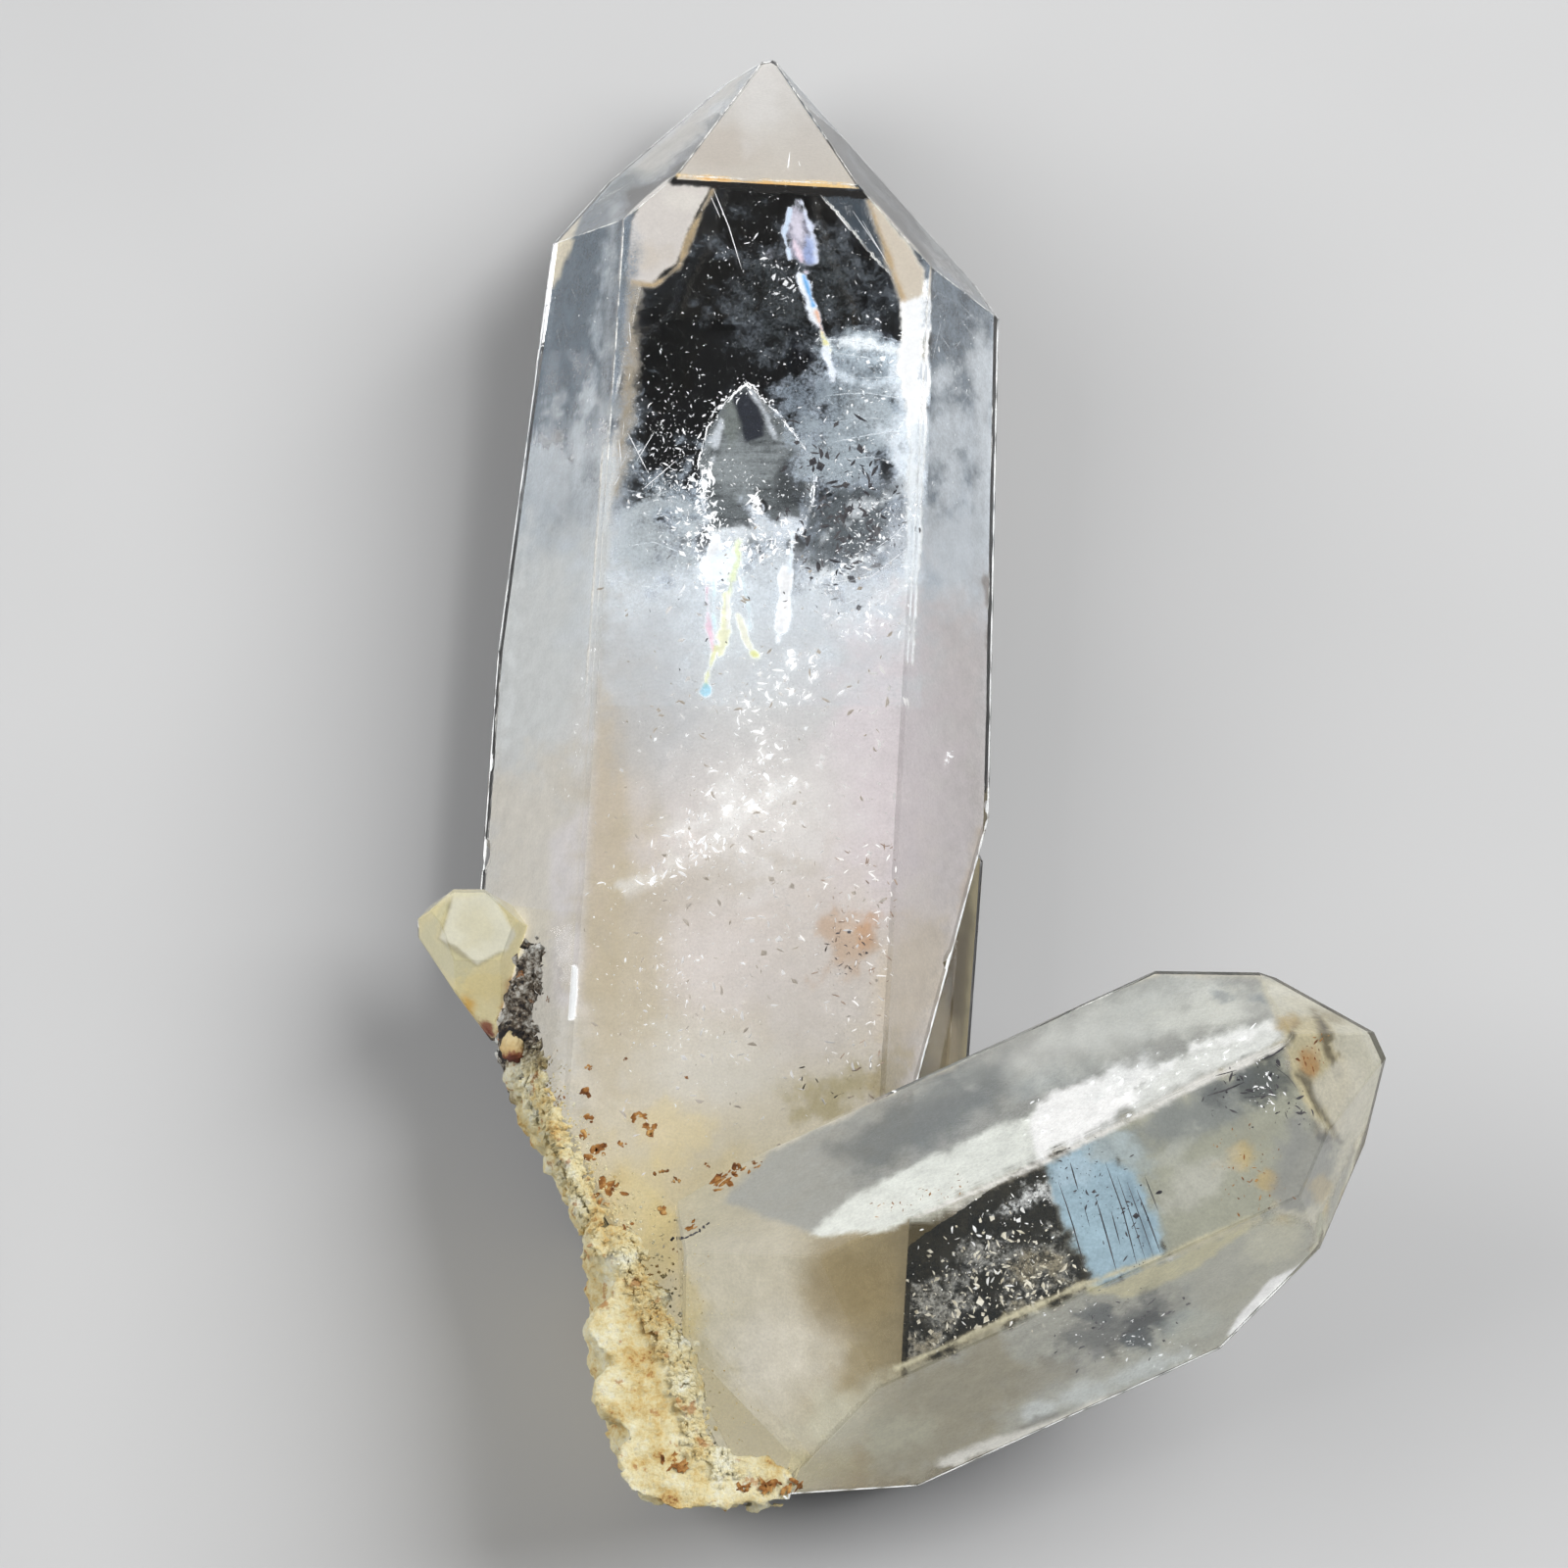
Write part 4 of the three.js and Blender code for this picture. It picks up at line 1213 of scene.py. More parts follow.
TIP_LINE_OUTLINE = [(690, 168), (770, 176), (878, 184), (882, 192), (770, 187), (686, 181)]
TIP_LINE_BRUSHES = [
    brush(line(4, (692, 178), (770, 184), (874, 191)), (216, 184, 124), 0.95, 4, 3, 0.9),
    brush(line(2, (700, 179), (770, 185), (820, 188)), (196, 140, 66), 1.0, 3, 2, 0.7),
]


def tip_line():
    """The thin amber line along the lower edge of the tip's front face."""
    amber = painted("amber_line", mottle=0.2, speckle=0.1, thin=0.5, shift=9.0)
    sheet("tip_line", TIP_LINE_OUTLINE, LONG_FACES[TIP_FRONT], 0.16, LONG_POINT, (rgb(214, 196, 160), 0.0),
          TIP_LINE_BRUSHES, amber, step=2.6)


TIP_SHADOW_OUTLINE = [(684, 178), (770, 184), (888, 192), (892, 204), (770, 197), (680, 190)]
TIP_SHADOW_BRUSHES = [brush(line(8, (688, 185), (770, 191), (888, 199)), None, 0.98, 5, 3)]


def tip_shadow():
    """The thin dark line just below that edge, where the window begins."""
    dark = painted("tip_shadow", mottle=0.3, speckle=0.1, thin=0.5, shift=10.0)
    sheet("tip_shadow", TIP_SHADOW_OUTLINE, LONG_TOP, 0.4, LONG_POINT, (rgb(30, 29, 28), 0.0),
          TIP_SHADOW_BRUSHES, dark, step=2.6)


# Down the tip, what its veil looks like at each height of the photograph.
TIP_TINTS = [(60, rgb(206, 203, 199)), (110, rgb(196, 193, 188)), (190, rgb(190, 183, 172))]
TIP_COVER = 0.93


def tip_start(pixel):
    return level(TIP_TINTS, pixel[1]), TIP_COVER


TIP_VEIL_BRUSHES = [
    brush(oval(740, 152, 40, 24), (180, 171, 160), None, 20, 10, 0.6),
    brush(oval(830, 150, 24, 30), (184, 178, 170), None, 20, 10, 0.5),
    brush(oval(775, 110, 18, 40, 10), (208, 206, 203), None, 18, 10, 0.6),
]


def tip_veil_and_reflection():
    """The even, pale veil under the front face of the long point's tip, partly a painted reflection of light.
    """
    still = painted("tip_veil_and_reflection", mottle=0.08, speckle=0.1, thin=0.4, shift=8.0)
    mesh = face_slab(LONG_POINT, TIP_FRONT, depth=0.2, thickness=0.12, margin=0.06)
    subdivide_to(mesh, 0.5)
    paint(mesh, seen_at, tip_start, TIP_VEIL_BRUSHES)
    new_piece("tip_veil_and_reflection", mesh, still)


# The water chamber

CHAMBER_DEPTH = 3.4
CHAMBER_OUTLINE = [
    (762, 391), (776, 405), (800, 430), (818, 455), (830, 480), (830, 515), (818, 545), (790, 560),
    (760, 562), (735, 556), (722, 545), (716, 505), (714, 472), (723, 438), (736, 418), (747, 402),
]
CHAMBER_MIDDLE = (770, 490)
CHAMBER_LEFT = [(764, 390), (745, 405), (730, 420), (721, 438), (713, 470), (715, 500), (722, 545)]
CHAMBER_RIGHT = [(760, 390), (776, 404), (800, 429), (819, 454), (832, 484), (829, 516), (816, 548)]
# Each ring's depth below the chamber's front and its size.
CHAMBER_RINGS = [(0.0, 0.45), (0.25, 0.86), (1.0, 1.0), (2.0, 0.92), (2.6, 0.5)]
# How far the hollow's corners stray, in pixels across and millimetres down.
CHAMBER_STRAY = (1.2, 0.05)
# The rim's two sides, each with how many lengths it is broken into.
CHAMBER_RIMS = [(CHAMBER_LEFT, 15), (CHAMBER_RIGHT, 17), (CHAMBER_LEFT, 9), (CHAMBER_RIGHT, 10)]
BUBBLE_PLACE = (773, 518)
BUBBLE_RADIUS = 0.42
# The start, length and width of the two painted arcs of light on the bubble's rim.
BUBBLE_ARCS = [(0.0, 3.4, 0.09), (3.6, 1.3, 0.05)]
ARC_PARTS = 12
# How far the arcs lie towards the camera, and their share of the bubble's radius.
ARC_RISE = 0.3
ARC_SHARE = 0.72


def water_chamber():
    """The arch-shaped hollow full of water."""
    draw = random.Random(5)
    rings = []
    for depth, size in CHAMBER_RINGS:
        ring = []
        for corner in CHAMBER_OUTLINE:
            pixel = [middle + (value - middle) * size + draw.gauss(0, CHAMBER_STRAY[0])
                     for value, middle in zip(corner, CHAMBER_MIDDLE)]
            ring.append(beneath(pixel, LONG_TOP, CHAMBER_DEPTH + depth + draw.gauss(0, CHAMBER_STRAY[1])))
        rings.append(ring)
    mesh = bmesh.new()
    add_loft(mesh, rings)
    bmesh.ops.triangulate(mesh, faces=mesh.faces[:])
    new_piece("water_chamber", mesh, liquid("chamber_water", QUARTZ_IOR / WATER_IOR), hollow=True)


CHAMBER_FILM_BRUSHES = [
    brush(oval(760, 475, 40, 30), (126, 132, 134), 0.7, 24, 20),
    brush(oval(806, 500, 18, 24), (66, 70, 72), 0.7, 14, 16),
    brush(oval(748, 430, 12, 16), (108, 114, 112), 0.75, 12, 14),
    brush(area((749, 404), (764, 396), (776, 410), (781, 446), (760, 454)), (40, 43, 50), 0.85, 5, 4),
    brush(line(5, (766, 398), (784, 428), (790, 446)), (186, 192, 198), 0.8, 5, 4),
    brush(line(4, (736, 430), (728, 470)), (190, 196, 202), 0.8, 5, 5),
    brush(oval(745, 545, 30, 14), (206, 211, 215), 0.9, 12, 14),
    brush(oval(806, 540, 18, 18), (200, 206, 212), 0.85, 12, 14),
    brush(oval(*BUBBLE_PLACE, 11, 11), None, 0.0, 4, 1),
]


def chamber_film():
    """The ribbed film over the chamber's front, with a dark facet at its top."""
    ribbed = painted("chamber_film", mottle=0.55, speckle=0.4, thin=1.0, size=0.45, shift=11.0,
                     stretch=(5, 0.7, 5))
    sheet("chamber_film", CHAMBER_OUTLINE, LONG_TOP, CHAMBER_DEPTH - 0.12, LONG_POINT, (rgb(92, 97, 99), 0.6),
          CHAMBER_FILM_BRUSHES, ribbed, step=3.2)


def chamber_rim():
    """The chamber's thin bright rim, broken into short lengths."""
    draw = random.Random(6)
    mesh = bmesh.new()
    for path, pieces in CHAMBER_RIMS:
        for number in range(pieces):
            start, length = number / pieces, draw.uniform(0.5, 1.2) / pieces
            stray = draw.gauss(0, 1.6)
            places = []
            for step in range(THREAD_PARTS + 1):
                x, y = along_path(path, min(start + length * step / THREAD_PARTS, 1))
                pixel = (x + stray + draw.gauss(0, 0.6), y + draw.gauss(0, 0.6))
                places.append(beneath(pixel, LONG_TOP, CHAMBER_DEPTH - 0.2 + draw.gauss(0, 0.08)))
            add_thread(mesh, places, draw.uniform(0.02, 0.075))
    new_piece("chamber_rim", mesh, bright_inclusions_and_glints)


def gas_bubble():
    """The bubble of gas in the chamber, with a painted highlight: the lit ring and fleck that its rim shows.
    """
    centre = beneath(BUBBLE_PLACE, LONG_TOP, CHAMBER_DEPTH + 0.75)
    mesh = bmesh.new()
    bmesh.ops.create_icosphere(mesh, subdivisions=4, radius=BUBBLE_RADIUS)
    bmesh.ops.translate(mesh, vec=centre, verts=mesh.verts)
    new_piece("gas_bubble", mesh, liquid("bubble_gas", WATER_IOR), smooth=True, hollow=True)
    draw = random.Random(4)
    across = TOWARDS_CAMERA.orthogonal().normalized()
    over = TOWARDS_CAMERA.cross(across)
    ring = bmesh.new()
    for start, length, width in BUBBLE_ARCS:
        places = []
        for step in range(ARC_PARTS + 1):
            angle = start + length * step / ARC_PARTS
            out = across * math.cos(angle) + over * math.sin(angle)
            places.append(centre + TOWARDS_CAMERA * ARC_RISE + out * BUBBLE_RADIUS * ARC_SHARE)
        add_thread(ring, places, width)
    add_chip(ring, draw, centre + TOWARDS_CAMERA * 0.36 + over * 0.06, (0.15, 0.13, 0.04), TOWARDS_CAMERA)
    new_piece("bubble_glint", ring, bright_inclusions_and_glints)


# Chips, flakes and threads inside

# What share of a group's chips is curved.
MOSTLY_CURVED, SELDOM_CURVED = 0.7, 0.15
# How far a curved fleck bends, as a share of its length, and half its width at its ends.
CURL_BEND = (0.02, 0.16)
CURL_RIM = 0.006
# A group of chips strays so many pixels from its path; its depths and sizes are in millimetres.
Chips = namedtuple("Chips", "name path stray depths sizes count material face curved",
                   defaults=(bright_inclusions_and_glints, None, MOSTLY_CURVED))


def add_crescent(mesh, draw, centre, facing, length, width):
    """A thin curved fleck, widest in its middle."""
    turn = Matrix.Rotation(draw.uniform(0, math.tau), 3, facing)
    across = turn @ facing.orthogonal().normalized()
    over = facing.cross(across)
    bend = draw.uniform(*CURL_BEND)
    rings = []
    for share in (-1, -0.5, 0, 0.5, 1):
        bulge = 1 - share**2
        place = centre + across * (length / 2 * share) + over * (length * bend * bulge)
        half = width / 2 * bulge + CURL_RIM
        rings.append([place + over * half, place + facing * half * 0.5, place - over * half,
                      place - facing * half * 0.5])
    add_loft(mesh, rings)


def sparks(chips, seed, crystal, top):
    """Small chips and curved flecks about a path of pixels, below the top face or one of their own."""
    draw = random.Random(seed)
    mesh = bmesh.new()
    smallest, largest = chips.sizes
    for _ in range(chips.count):
        pixel = [value + draw.gauss(0, chips.stray) for value in along_path(chips.path, draw.random())]
        size = smallest + (largest - smallest) * draw.random() ** 3
        place = beneath(pixel, chips.face or top, max(draw.uniform(*chips.depths), size * 0.5 + 0.07))
        look = (TOWARDS_CAMERA + Vector([draw.gauss(0, 0.6) for _ in range(3)])).normalized()
        if not is_inside(crystal, place, size * 0.5 + 0.06):
            continue
        if draw.random() < chips.curved:
            add_crescent(mesh, draw, place, look, size * 2.4, size * draw.uniform(0.35, 0.9))
        else:
            add_chip(mesh, draw, place, (size, size * draw.uniform(0.3, 0.9), size * 0.25), look)
    new_piece(chips.name, mesh, chips.material)


# A path of pixels all over the milk under the long point's front.
MILK_PATH = [
    (680, 640), (860, 660), (900, 760), (700, 740), (680, 860), (880, 880), (860, 1000), (660, 980),
    (680, 1100), (820, 1100),
]


# The chips in the long point, the faint curls all over its milk, and the chips in the second point.
LONG_CHIPS = [
    Chips("window_specks", [(660, 300), (780, 260), (900, 330), (700, 430)], 50, (1.0, 11), (0.02, 0.09),
          560),
    Chips("needle_specks", [(700, 230), (790, 230), (880, 250)], 40, (1.0, 6), (0.02, 0.08), 160),
    Chips("window_dust", [(650, 400), (700, 450), (690, 520)], 28, (1.0, 8), (0.03, 0.12), 420),
    Chips("haze_flecks", [(850, 350), (910, 356), (890, 430), (850, 470)], 26, (1.4, 2.6), (0.04, 0.22), 240),
    Chips("pale_patch_flecks", [(782, 262), (800, 290), (790, 310)], 12, (1.8, 3), (0.06, 0.26), 46),
    Chips("chamber_rim_chips", CHAMBER_LEFT, 4, (3.0, 3.4), (0.04, 0.2), 120),
    Chips("chamber_edge_chips", CHAMBER_RIGHT, 3, (3.0, 3.4), (0.04, 0.17), 120),
    Chips("chamber_marks", [(735, 470), (766, 486), (768, 500), (811, 498)], 5, (3.0, 3.3), (0.03, 0.12), 70),
    Chips("chamber_flank", [(722, 474), (718, 500), (724, 540), (732, 560)], 5, (1.2, 2.4), (0.08, 0.34),
          110),
    Chips("bubble_flare", [(768, 505), (776, 528)], 3, (1.2, 2.4), (0.1, 0.36), 22),
    Chips("left_sparks", [(650, 470), (690, 500), (714, 550), (725, 590)], 20, (0.6, 2), (0.03, 0.22), 360),
    Chips("crack_sparks", [(714, 560), (735, 590), (760, 560), (800, 545)], 14, (0.2, 1.2), (0.05, 0.34),
          240),
    Chips("lower_sparks", [(780, 680), (810, 665), (835, 690), (800, 710), (745, 735)], 12, (0.1, 0.4),
          (0.05, 0.4), 110),
    Chips("right_sparks", [(836, 600), (880, 560), (935, 520)], 10, (0.2, 1.2), (0.03, 0.22), 150),
    Chips("veil_sparks", [(840, 630), (880, 650), (905, 620), (930, 590)], 10, (0.1, 0.4), (0.03, 0.24), 110),
    Chips("diagonal_sparks", [(805, 822), (760, 840), (700, 880), (650, 905), (625, 912)], 10, (0.1, 0.4),
          (0.04, 0.36), 100),
    Chips("upper_diagonal_sparks", [(800, 760), (770, 800), (730, 830), (690, 862)], 16, (0.1, 0.4),
          (0.04, 0.34), 120),
    Chips("middle_sparks", [(740, 720), (720, 760), (800, 820), (700, 900)], 36, (0.1, 0.4), (0.03, 0.16),
          200),
    Chips("lower_specks", [(640, 960), (700, 1000), (690, 1080)], 36, (0.1, 0.4), (0.03, 0.15), 180),
    Chips("dark_patch_chips", [(830, 480), (890, 520), (850, 590)], 26, (0.4, 1.6), (0.05, 0.4), 300,
          smoky_chips),
    Chips("dark_patch_specks", [(830, 480), (900, 510), (850, 580)], 24, (0.4, 1.5), (0.02, 0.13), 380),
    Chips("milk_marks", [(710, 660), (742, 560), (860, 590)], 24, (0.1, 0.4), (0.03, 0.2), 70, smoky_chips),
    Chips("left_face_specks", [(610, 260), (590, 400), (565, 520)], 16, (0.3, 1.5), (0.02, 0.1), 160,
          face=LONG_FACES[LEFT]),
    Chips("left_face_flecks", [(574, 780), (580, 830), (600, 640)], 10, (0.15, 0.4), (0.05, 0.2), 26,
          face=LONG_FACES[LEFT]),
    Chips("right_face_flecks", [(975, 300), (975, 420), (966, 520)], 18, (0.3, 1.2), (0.02, 0.12), 160,
          face=LONG_FACES[RIGHT]),
    Chips("right_flare", [(971, 764), (966, 780)], 2, (0.12, 0.3), (0.1, 0.32), 10, face=LONG_FACES[RIGHT]),
    Chips("amber_spot_marks", [(850, 970), (880, 984), (872, 950)], 10, (0.1, 0.3), (0.03, 0.16), 40,
          smoky_chips),
]
MILK_WISPS = [
    Chips("pale_wisps", MILK_PATH, 56, (0.1, 0.45), (0.04, 0.28), 620, pale_wisps),
    Chips("dull_wisps", MILK_PATH, 56, (0.1, 0.45), (0.04, 0.28), 320, dull_wisps),
]
CROSS_CHIPS = [
    Chips("cross_window_specks", [(945, 1330), (1000, 1270), (1060, 1230), (1040, 1320)], 28, (0.8, 6),
          (0.03, 0.24), 150),
    Chips("cross_window_chips", [(940, 1350), (990, 1300), (1050, 1270), (1070, 1300), (960, 1370)], 24,
          (0.6, 3), (0.03, 0.3), 460, cream_chips, curved=SELDOM_CURVED),
    Chips("cross_dark_dashes", [(1136, 1196), (1164, 1286)], 13, (0.1, 0.16), (0.05, 0.24), 44, smoky_chips),
    Chips("cross_blue_dashes", [(1078, 1200), (1110, 1190), (1120, 1250)], 14, (0.1, 0.16), (0.03, 0.16), 70,
          smoky_chips),
    Chips("cross_rust", [(1250, 1170), (1290, 1200), (1275, 1230)], 18, (0.1, 0.17), (0.03, 0.16), 70,
          rust_chips),
    Chips("cross_tip_glints", [(1296, 1092), (1284, 1108), (1306, 1128)], 8, (0.1, 0.17), (0.04, 0.22), 34),
    Chips("cross_lower_glints", [(1090, 1344), (1160, 1372), (1214, 1380)], 14, (0.1, 0.17), (0.03, 0.2), 90,
          face=CROSS_FACES[CROSS_LOWER]),
    Chips("cross_tip_smudges", [(1240, 1110), (1300, 1110), (1330, 1140)], 12, (0.1, 0.17), (0.06, 0.3), 70,
          smoky_chips),
    Chips("cross_smudges", [(1100, 1360), (1190, 1345)], 16, (0.1, 0.17), (0.06, 0.36), 80, smoky_chips,
          face=CROSS_FACES[CROSS_LOWER]),
    Chips("cross_band_rust", [(888, 1240), (925, 1228), (990, 1205)], 5, (0.1, 0.17), (0.04, 0.17), 46,
          rust_chips, face=CROSS_FACES[CROSS_UPPER]),
    Chips("cross_glare_flecks", [(1050, 1150), (1120, 1120), (1270, 1070)], 12, (0.1, 0.17), (0.05, 0.3), 90,
          face=CROSS_FACES[CROSS_UPPER]),
    Chips("cross_tip_rust", [(1334, 1070), (1340, 1092), (1352, 1050)], 6, (0.1, 0.17), (0.05, 0.24), 30,
          rust_chips, face=CROSS_FACES[CROSS_TIP_FRONT]),
]


def all_sparks():
    for seed, chips in enumerate(LONG_CHIPS, 20):
        sparks(chips, seed, LONG_POINT, LONG_TOP)
    for seed, chips in enumerate(MILK_WISPS, 50):
        sparks(chips, seed, LONG_POINT, LONG_TOP)
    for seed, chips in enumerate(CROSS_CHIPS, 60):
        sparks(chips, seed, CROSS_POINT, CROSS_TOP)


UPPER_FLAKE_OUTLINE = [(790, 196), (840, 196), (856, 356), (860, 396), (838, 396), (800, 290)]
UPPER_FLAKE_BRUSHES = [
    brush(area((808, 218), (817, 206), (828, 232), (832, 262), (822, 278), (808, 262), (802, 238)),
          (150, 150, 166), 0.34, 8, 14),
    brush(line(3, (818, 206), (828, 236), (832, 266)), (214, 222, 240), 0.9, 4, 6),
    brush(line(3, (810, 244), (816, 262), (822, 278)), (226, 206, 218), 0.9, 4, 6),
    brush(oval(814, 232, 5, 16), (214, 210, 222), 0.85, 8, 8, 0.8),
    brush(oval(826, 260, 4, 12), (150, 170, 214), 0.8, 6, 6, 0.7),
    brush(line(2, (806, 214), (800, 240), (806, 264)), (206, 222, 240), 1.0, 3, 4),
    brush(line(9, (816, 282), (825, 304), (836, 332)), (240, 245, 250), 0.98, 4, 5),
    brush(line(4, (820, 282), (830, 312)), (110, 180, 236), 1.0, 4, 2),
    brush(line(5, (833, 318), (840, 340)), (232, 168, 120), 1.0, 4, 3, 0.8),
    brush(line(5, (838, 338), (845, 358)), (236, 232, 170), 1.0, 4, 3),
    brush(line(6, (843, 356), (850, 388)), (232, 238, 244), 0.95, 4, 4),
]
LOWER_FLAKES_OUTLINE = [(708, 545), (820, 532), (822, 660), (780, 684), (730, 720), (706, 714)]
LOWER_FLAKES_BRUSHES = [
    brush(line(4, (729, 590), (728, 640)), (196, 222, 230), 0.8, 4, 3, 0.8),
    brush(line(4, (721, 600), (723, 640), (728, 664)), (222, 170, 190), 0.8, 4, 3, 0.7),
    brush(line(10, (741, 606), (741, 640), (735, 668)), (239, 241, 211), 1.0, 3, 4),
    brush(line(5, (742, 604), (743, 640)), (252, 253, 250), 1.0, 3, 3),
    brush(line(5, (731, 660), (723, 684), (719, 700)), (223, 224, 173), 1.0, 4, 3, 0.9),
    brush(oval(719, 704, 6, 7), (150, 205, 225), 1.0, 4, 3, 0.8),
    brush(line(8, (753, 552), (750, 580), (744, 604)), (205, 214, 165), 0.8, 6, 5, 0.8),
    brush(line(6, (754, 628), (761, 652), (770, 668)), (238, 239, 224), 1.0, 3, 3),
    brush(oval(770, 668, 7, 5, 30), (223, 226, 158), 1.0, 3, 3, 0.9),
    brush(line(4, (758, 590), (766, 640)), (190, 206, 212), 0.7, 4, 4, 0.7),
    brush(oval(727, 566, 7, 26, 8), (246, 249, 252), 1.0, 5, 8),
    brush(oval(772, 520, 5, 12, 14), (250, 252, 252), 1.0, 4, 5),
    brush(line(14, (804, 584), (801, 612), (797, 640)), (246, 248, 250), 1.0, 3, 3),
    brush(line(6, (809, 545), (806, 584)), (226, 236, 244), 0.95, 4, 3),
    brush(line(5, (797, 640), (793, 654)), (240, 244, 248), 1.0, 3, 2),
    brush(oval(738, 574, 10, 12), (232, 240, 246), 0.9, 6, 8),
]
EDGE_MARK_OUTLINE = [(572, 982), (594, 982), (592, 1044), (572, 1044)]
EDGE_MARK_BRUSHES = [brush(line(9, (585, 990), (583, 1036)), None, 1.0, 3, 1)]


def light_flakes():
    """Flakes and streaks in the cracks, which split the light into colours: painted reflections and glints.
    """
    shimmer = painted("light_flake", mottle=0.35, speckle=0.15, thin=0.6, gloss=0.3, size=0.7, shift=12.0)
    sheet("upper_flake", UPPER_FLAKE_OUTLINE, LONG_TOP, 1.7, LONG_POINT, (rgb(200, 206, 216), 0.0),
          UPPER_FLAKE_BRUSHES, shimmer, step=3)
    sheet("lower_flakes", LOWER_FLAKES_OUTLINE, LONG_TOP, 0.3, LONG_POINT, (rgb(224, 230, 234), 0.0),
          LOWER_FLAKES_BRUSHES, shimmer, step=3)
    white = painted("white_mark", mottle=0.1, speckle=0.1, thin=0.3, shift=13.0)
    sheet("edge_mark", EDGE_MARK_OUTLINE, LONG_TOP, 0.16, LONG_POINT, (rgb(238, 240, 240), 0.0),
          EDGE_MARK_BRUSHES, white, step=2.5)


def threads(name, lines, face, depth, radius, seed, material=bright_inclusions_and_glints, stray=1.2):
    """Fine needles: each line is a path of pixels."""
    draw = random.Random(seed)
    mesh = bmesh.new()
    for path in lines:
        start, end = depth + draw.uniform(0, stray), depth + draw.uniform(0, stray)
        places = []
        for step in range(THREAD_PARTS + 1):
            share = step / THREAD_PARTS
            places.append(beneath(along_path(path, share), face, start + (end - start) * share))
        add_thread(mesh, places, radius * draw.uniform(0.5, 1.3))
    new_piece(name, mesh, material)


FRONT_NEEDLES_PATHS = [
    [(727, 190), (744, 232), (757, 275)],
    [(725, 200), (735, 222)],
    [(870, 215), (902, 262)],
    [(880, 225), (912, 280)],
    [(790, 166), (792, 196)],
    [(806, 152), (801, 196)],
    [(815, 160), (822, 200)],
    [(799, 172), (810, 190)],
    [(650, 470), (668, 440)],
    [(655, 500), (690, 470)],
    [(640, 440), (660, 480)],
    [(893, 560), (915, 545), (932, 520)],
    [(845, 595), (890, 588), (925, 560)],
    [(852, 216), (868, 236)],
]
HAZE_LINES_PATHS = [
    [(832, 346), (866, 347), (902, 354), (932, 366)],
    [(840, 358), (880, 364), (918, 372)],
    [(836, 380), (874, 386), (926, 384)],
    [(842, 404), (880, 400), (930, 408)],
    [(840, 432), (890, 426), (930, 430)],
    [(846, 452), (896, 442), (934, 438)],
    [(850, 470), (892, 466), (924, 476)],
    [(884, 340), (910, 346), (930, 352)],
]
MILK_STREAKS_PATHS = [
    [(632, 560), (664, 552), (700, 566)],
    [(640, 520), (672, 528), (700, 520)],
    [(622, 592), (660, 600), (706, 590)],
    [(836, 604), (872, 592), (912, 570)],
    [(846, 622), (890, 606), (930, 588)],
    [(640, 500), (668, 506), (690, 498)],
]
CROSS_STREAKS_PATHS = [
    [(1128, 1186), (1146, 1236), (1160, 1290)],
    [(1140, 1200), (1156, 1246), (1169, 1286)],
    [(1150, 1206), (1166, 1250), (1177, 1282)],
    [(1160, 1214), (1174, 1250), (1184, 1278)],
    [(1118, 1222), (1128, 1256), (1139, 1296)],
    [(1092, 1186), (1100, 1214)],
    [(1134, 1236), (1143, 1270)],
    [(1080, 1206), (1092, 1240), (1108, 1298)],
    [(1106, 1230), (1112, 1252)],
    [(1168, 1200), (1182, 1236)],
]
CROSS_TIP_STREAKS_PATHS = [
    [(1286, 1082), (1302, 1075), (1312, 1067)],
    [(1300, 1088), (1316, 1100), (1324, 1112)],
    [(1232, 1118), (1252, 1112), (1270, 1104)],
    [(1240, 1098), (1262, 1092)],
    [(1270, 1120), (1296, 1118)],
]


def all_threads():
    threads("front_needles", FRONT_NEEDLES_PATHS, LONG_TOP, 0.8, 0.03, 7)
    draw = random.Random(8)
    right = []
    for _ in range(60):
        x, y = draw.uniform(940, 1003), draw.uniform(275, 520)
        length, slant = draw.uniform(8, 46), draw.choice((-1, 1, 1)) * draw.gauss(0.6, 0.25)
        right.append([(x, y), (x + length * math.sin(slant), y + length * math.cos(slant))])
    right = [path for path in right if 938 < path[1][0] < 1008]
    threads("right_needles", right, LONG_FACES[RIGHT], 0.5, 0.016, 9)
    left = []
    for _ in range(40):
        x, y = draw.uniform(560, 632), draw.uniform(250, 520)
        left.append([(x, y), (x + draw.gauss(0, 3), y + draw.uniform(6, 26))])
    threads("left_needles", left, LONG_FACES[LEFT], 0.5, 0.02, 10)
    dim = film("dim_lines", [(0.35, rgb(168, 178, 186)), (0.6, rgb(224, 229, 232))], (0.05, 0.8), size=0.5)
    threads("haze_lines", HAZE_LINES_PATHS, LONG_TOP, 1.4, 0.034, 12, dim, stray=0.4)
    threads("milk_streaks", MILK_STREAKS_PATHS, LONG_TOP, 0.5, 0.03, 13, dim, stray=0.3)
    smoky = film("smoky_streaks", DARK, gloss=0.4)
    threads("cross_streaks", CROSS_STREAKS_PATHS, CROSS_TOP, 0.1, 0.036, 14, smoky, stray=0.03)
    threads("cross_tip_streaks", CROSS_TIP_STREAKS_PATHS, CROSS_TOP, 0.1, 0.04, 15, smoky, stray=0.03)


CROSS_WINDOW_HAZE_OUTLINE = [(932, 1250), (1050, 1195), (1070, 1200), (1108, 1308), (995, 1360), (926, 1390)]
CROSS_WINDOW_HAZE_BRUSHES = [
    brush(oval(962, 1328, 34, 22, -30), (160, 160, 154), 0.26, 20, 30),
    brush(oval(1010, 1284, 34, 12, -24), (150, 150, 146), 0.26, 16, 26),
    brush(oval(1060, 1296, 34, 18, -24), (128, 122, 106), 0.42, 24, 26),
    brush(oval(1046, 1226, 24, 8, -24), (186, 188, 188), 0.4, 10, 16),
    brush(oval(940, 1372, 24, 12, -24), (150, 144, 128), 0.5, 14, 16),
]


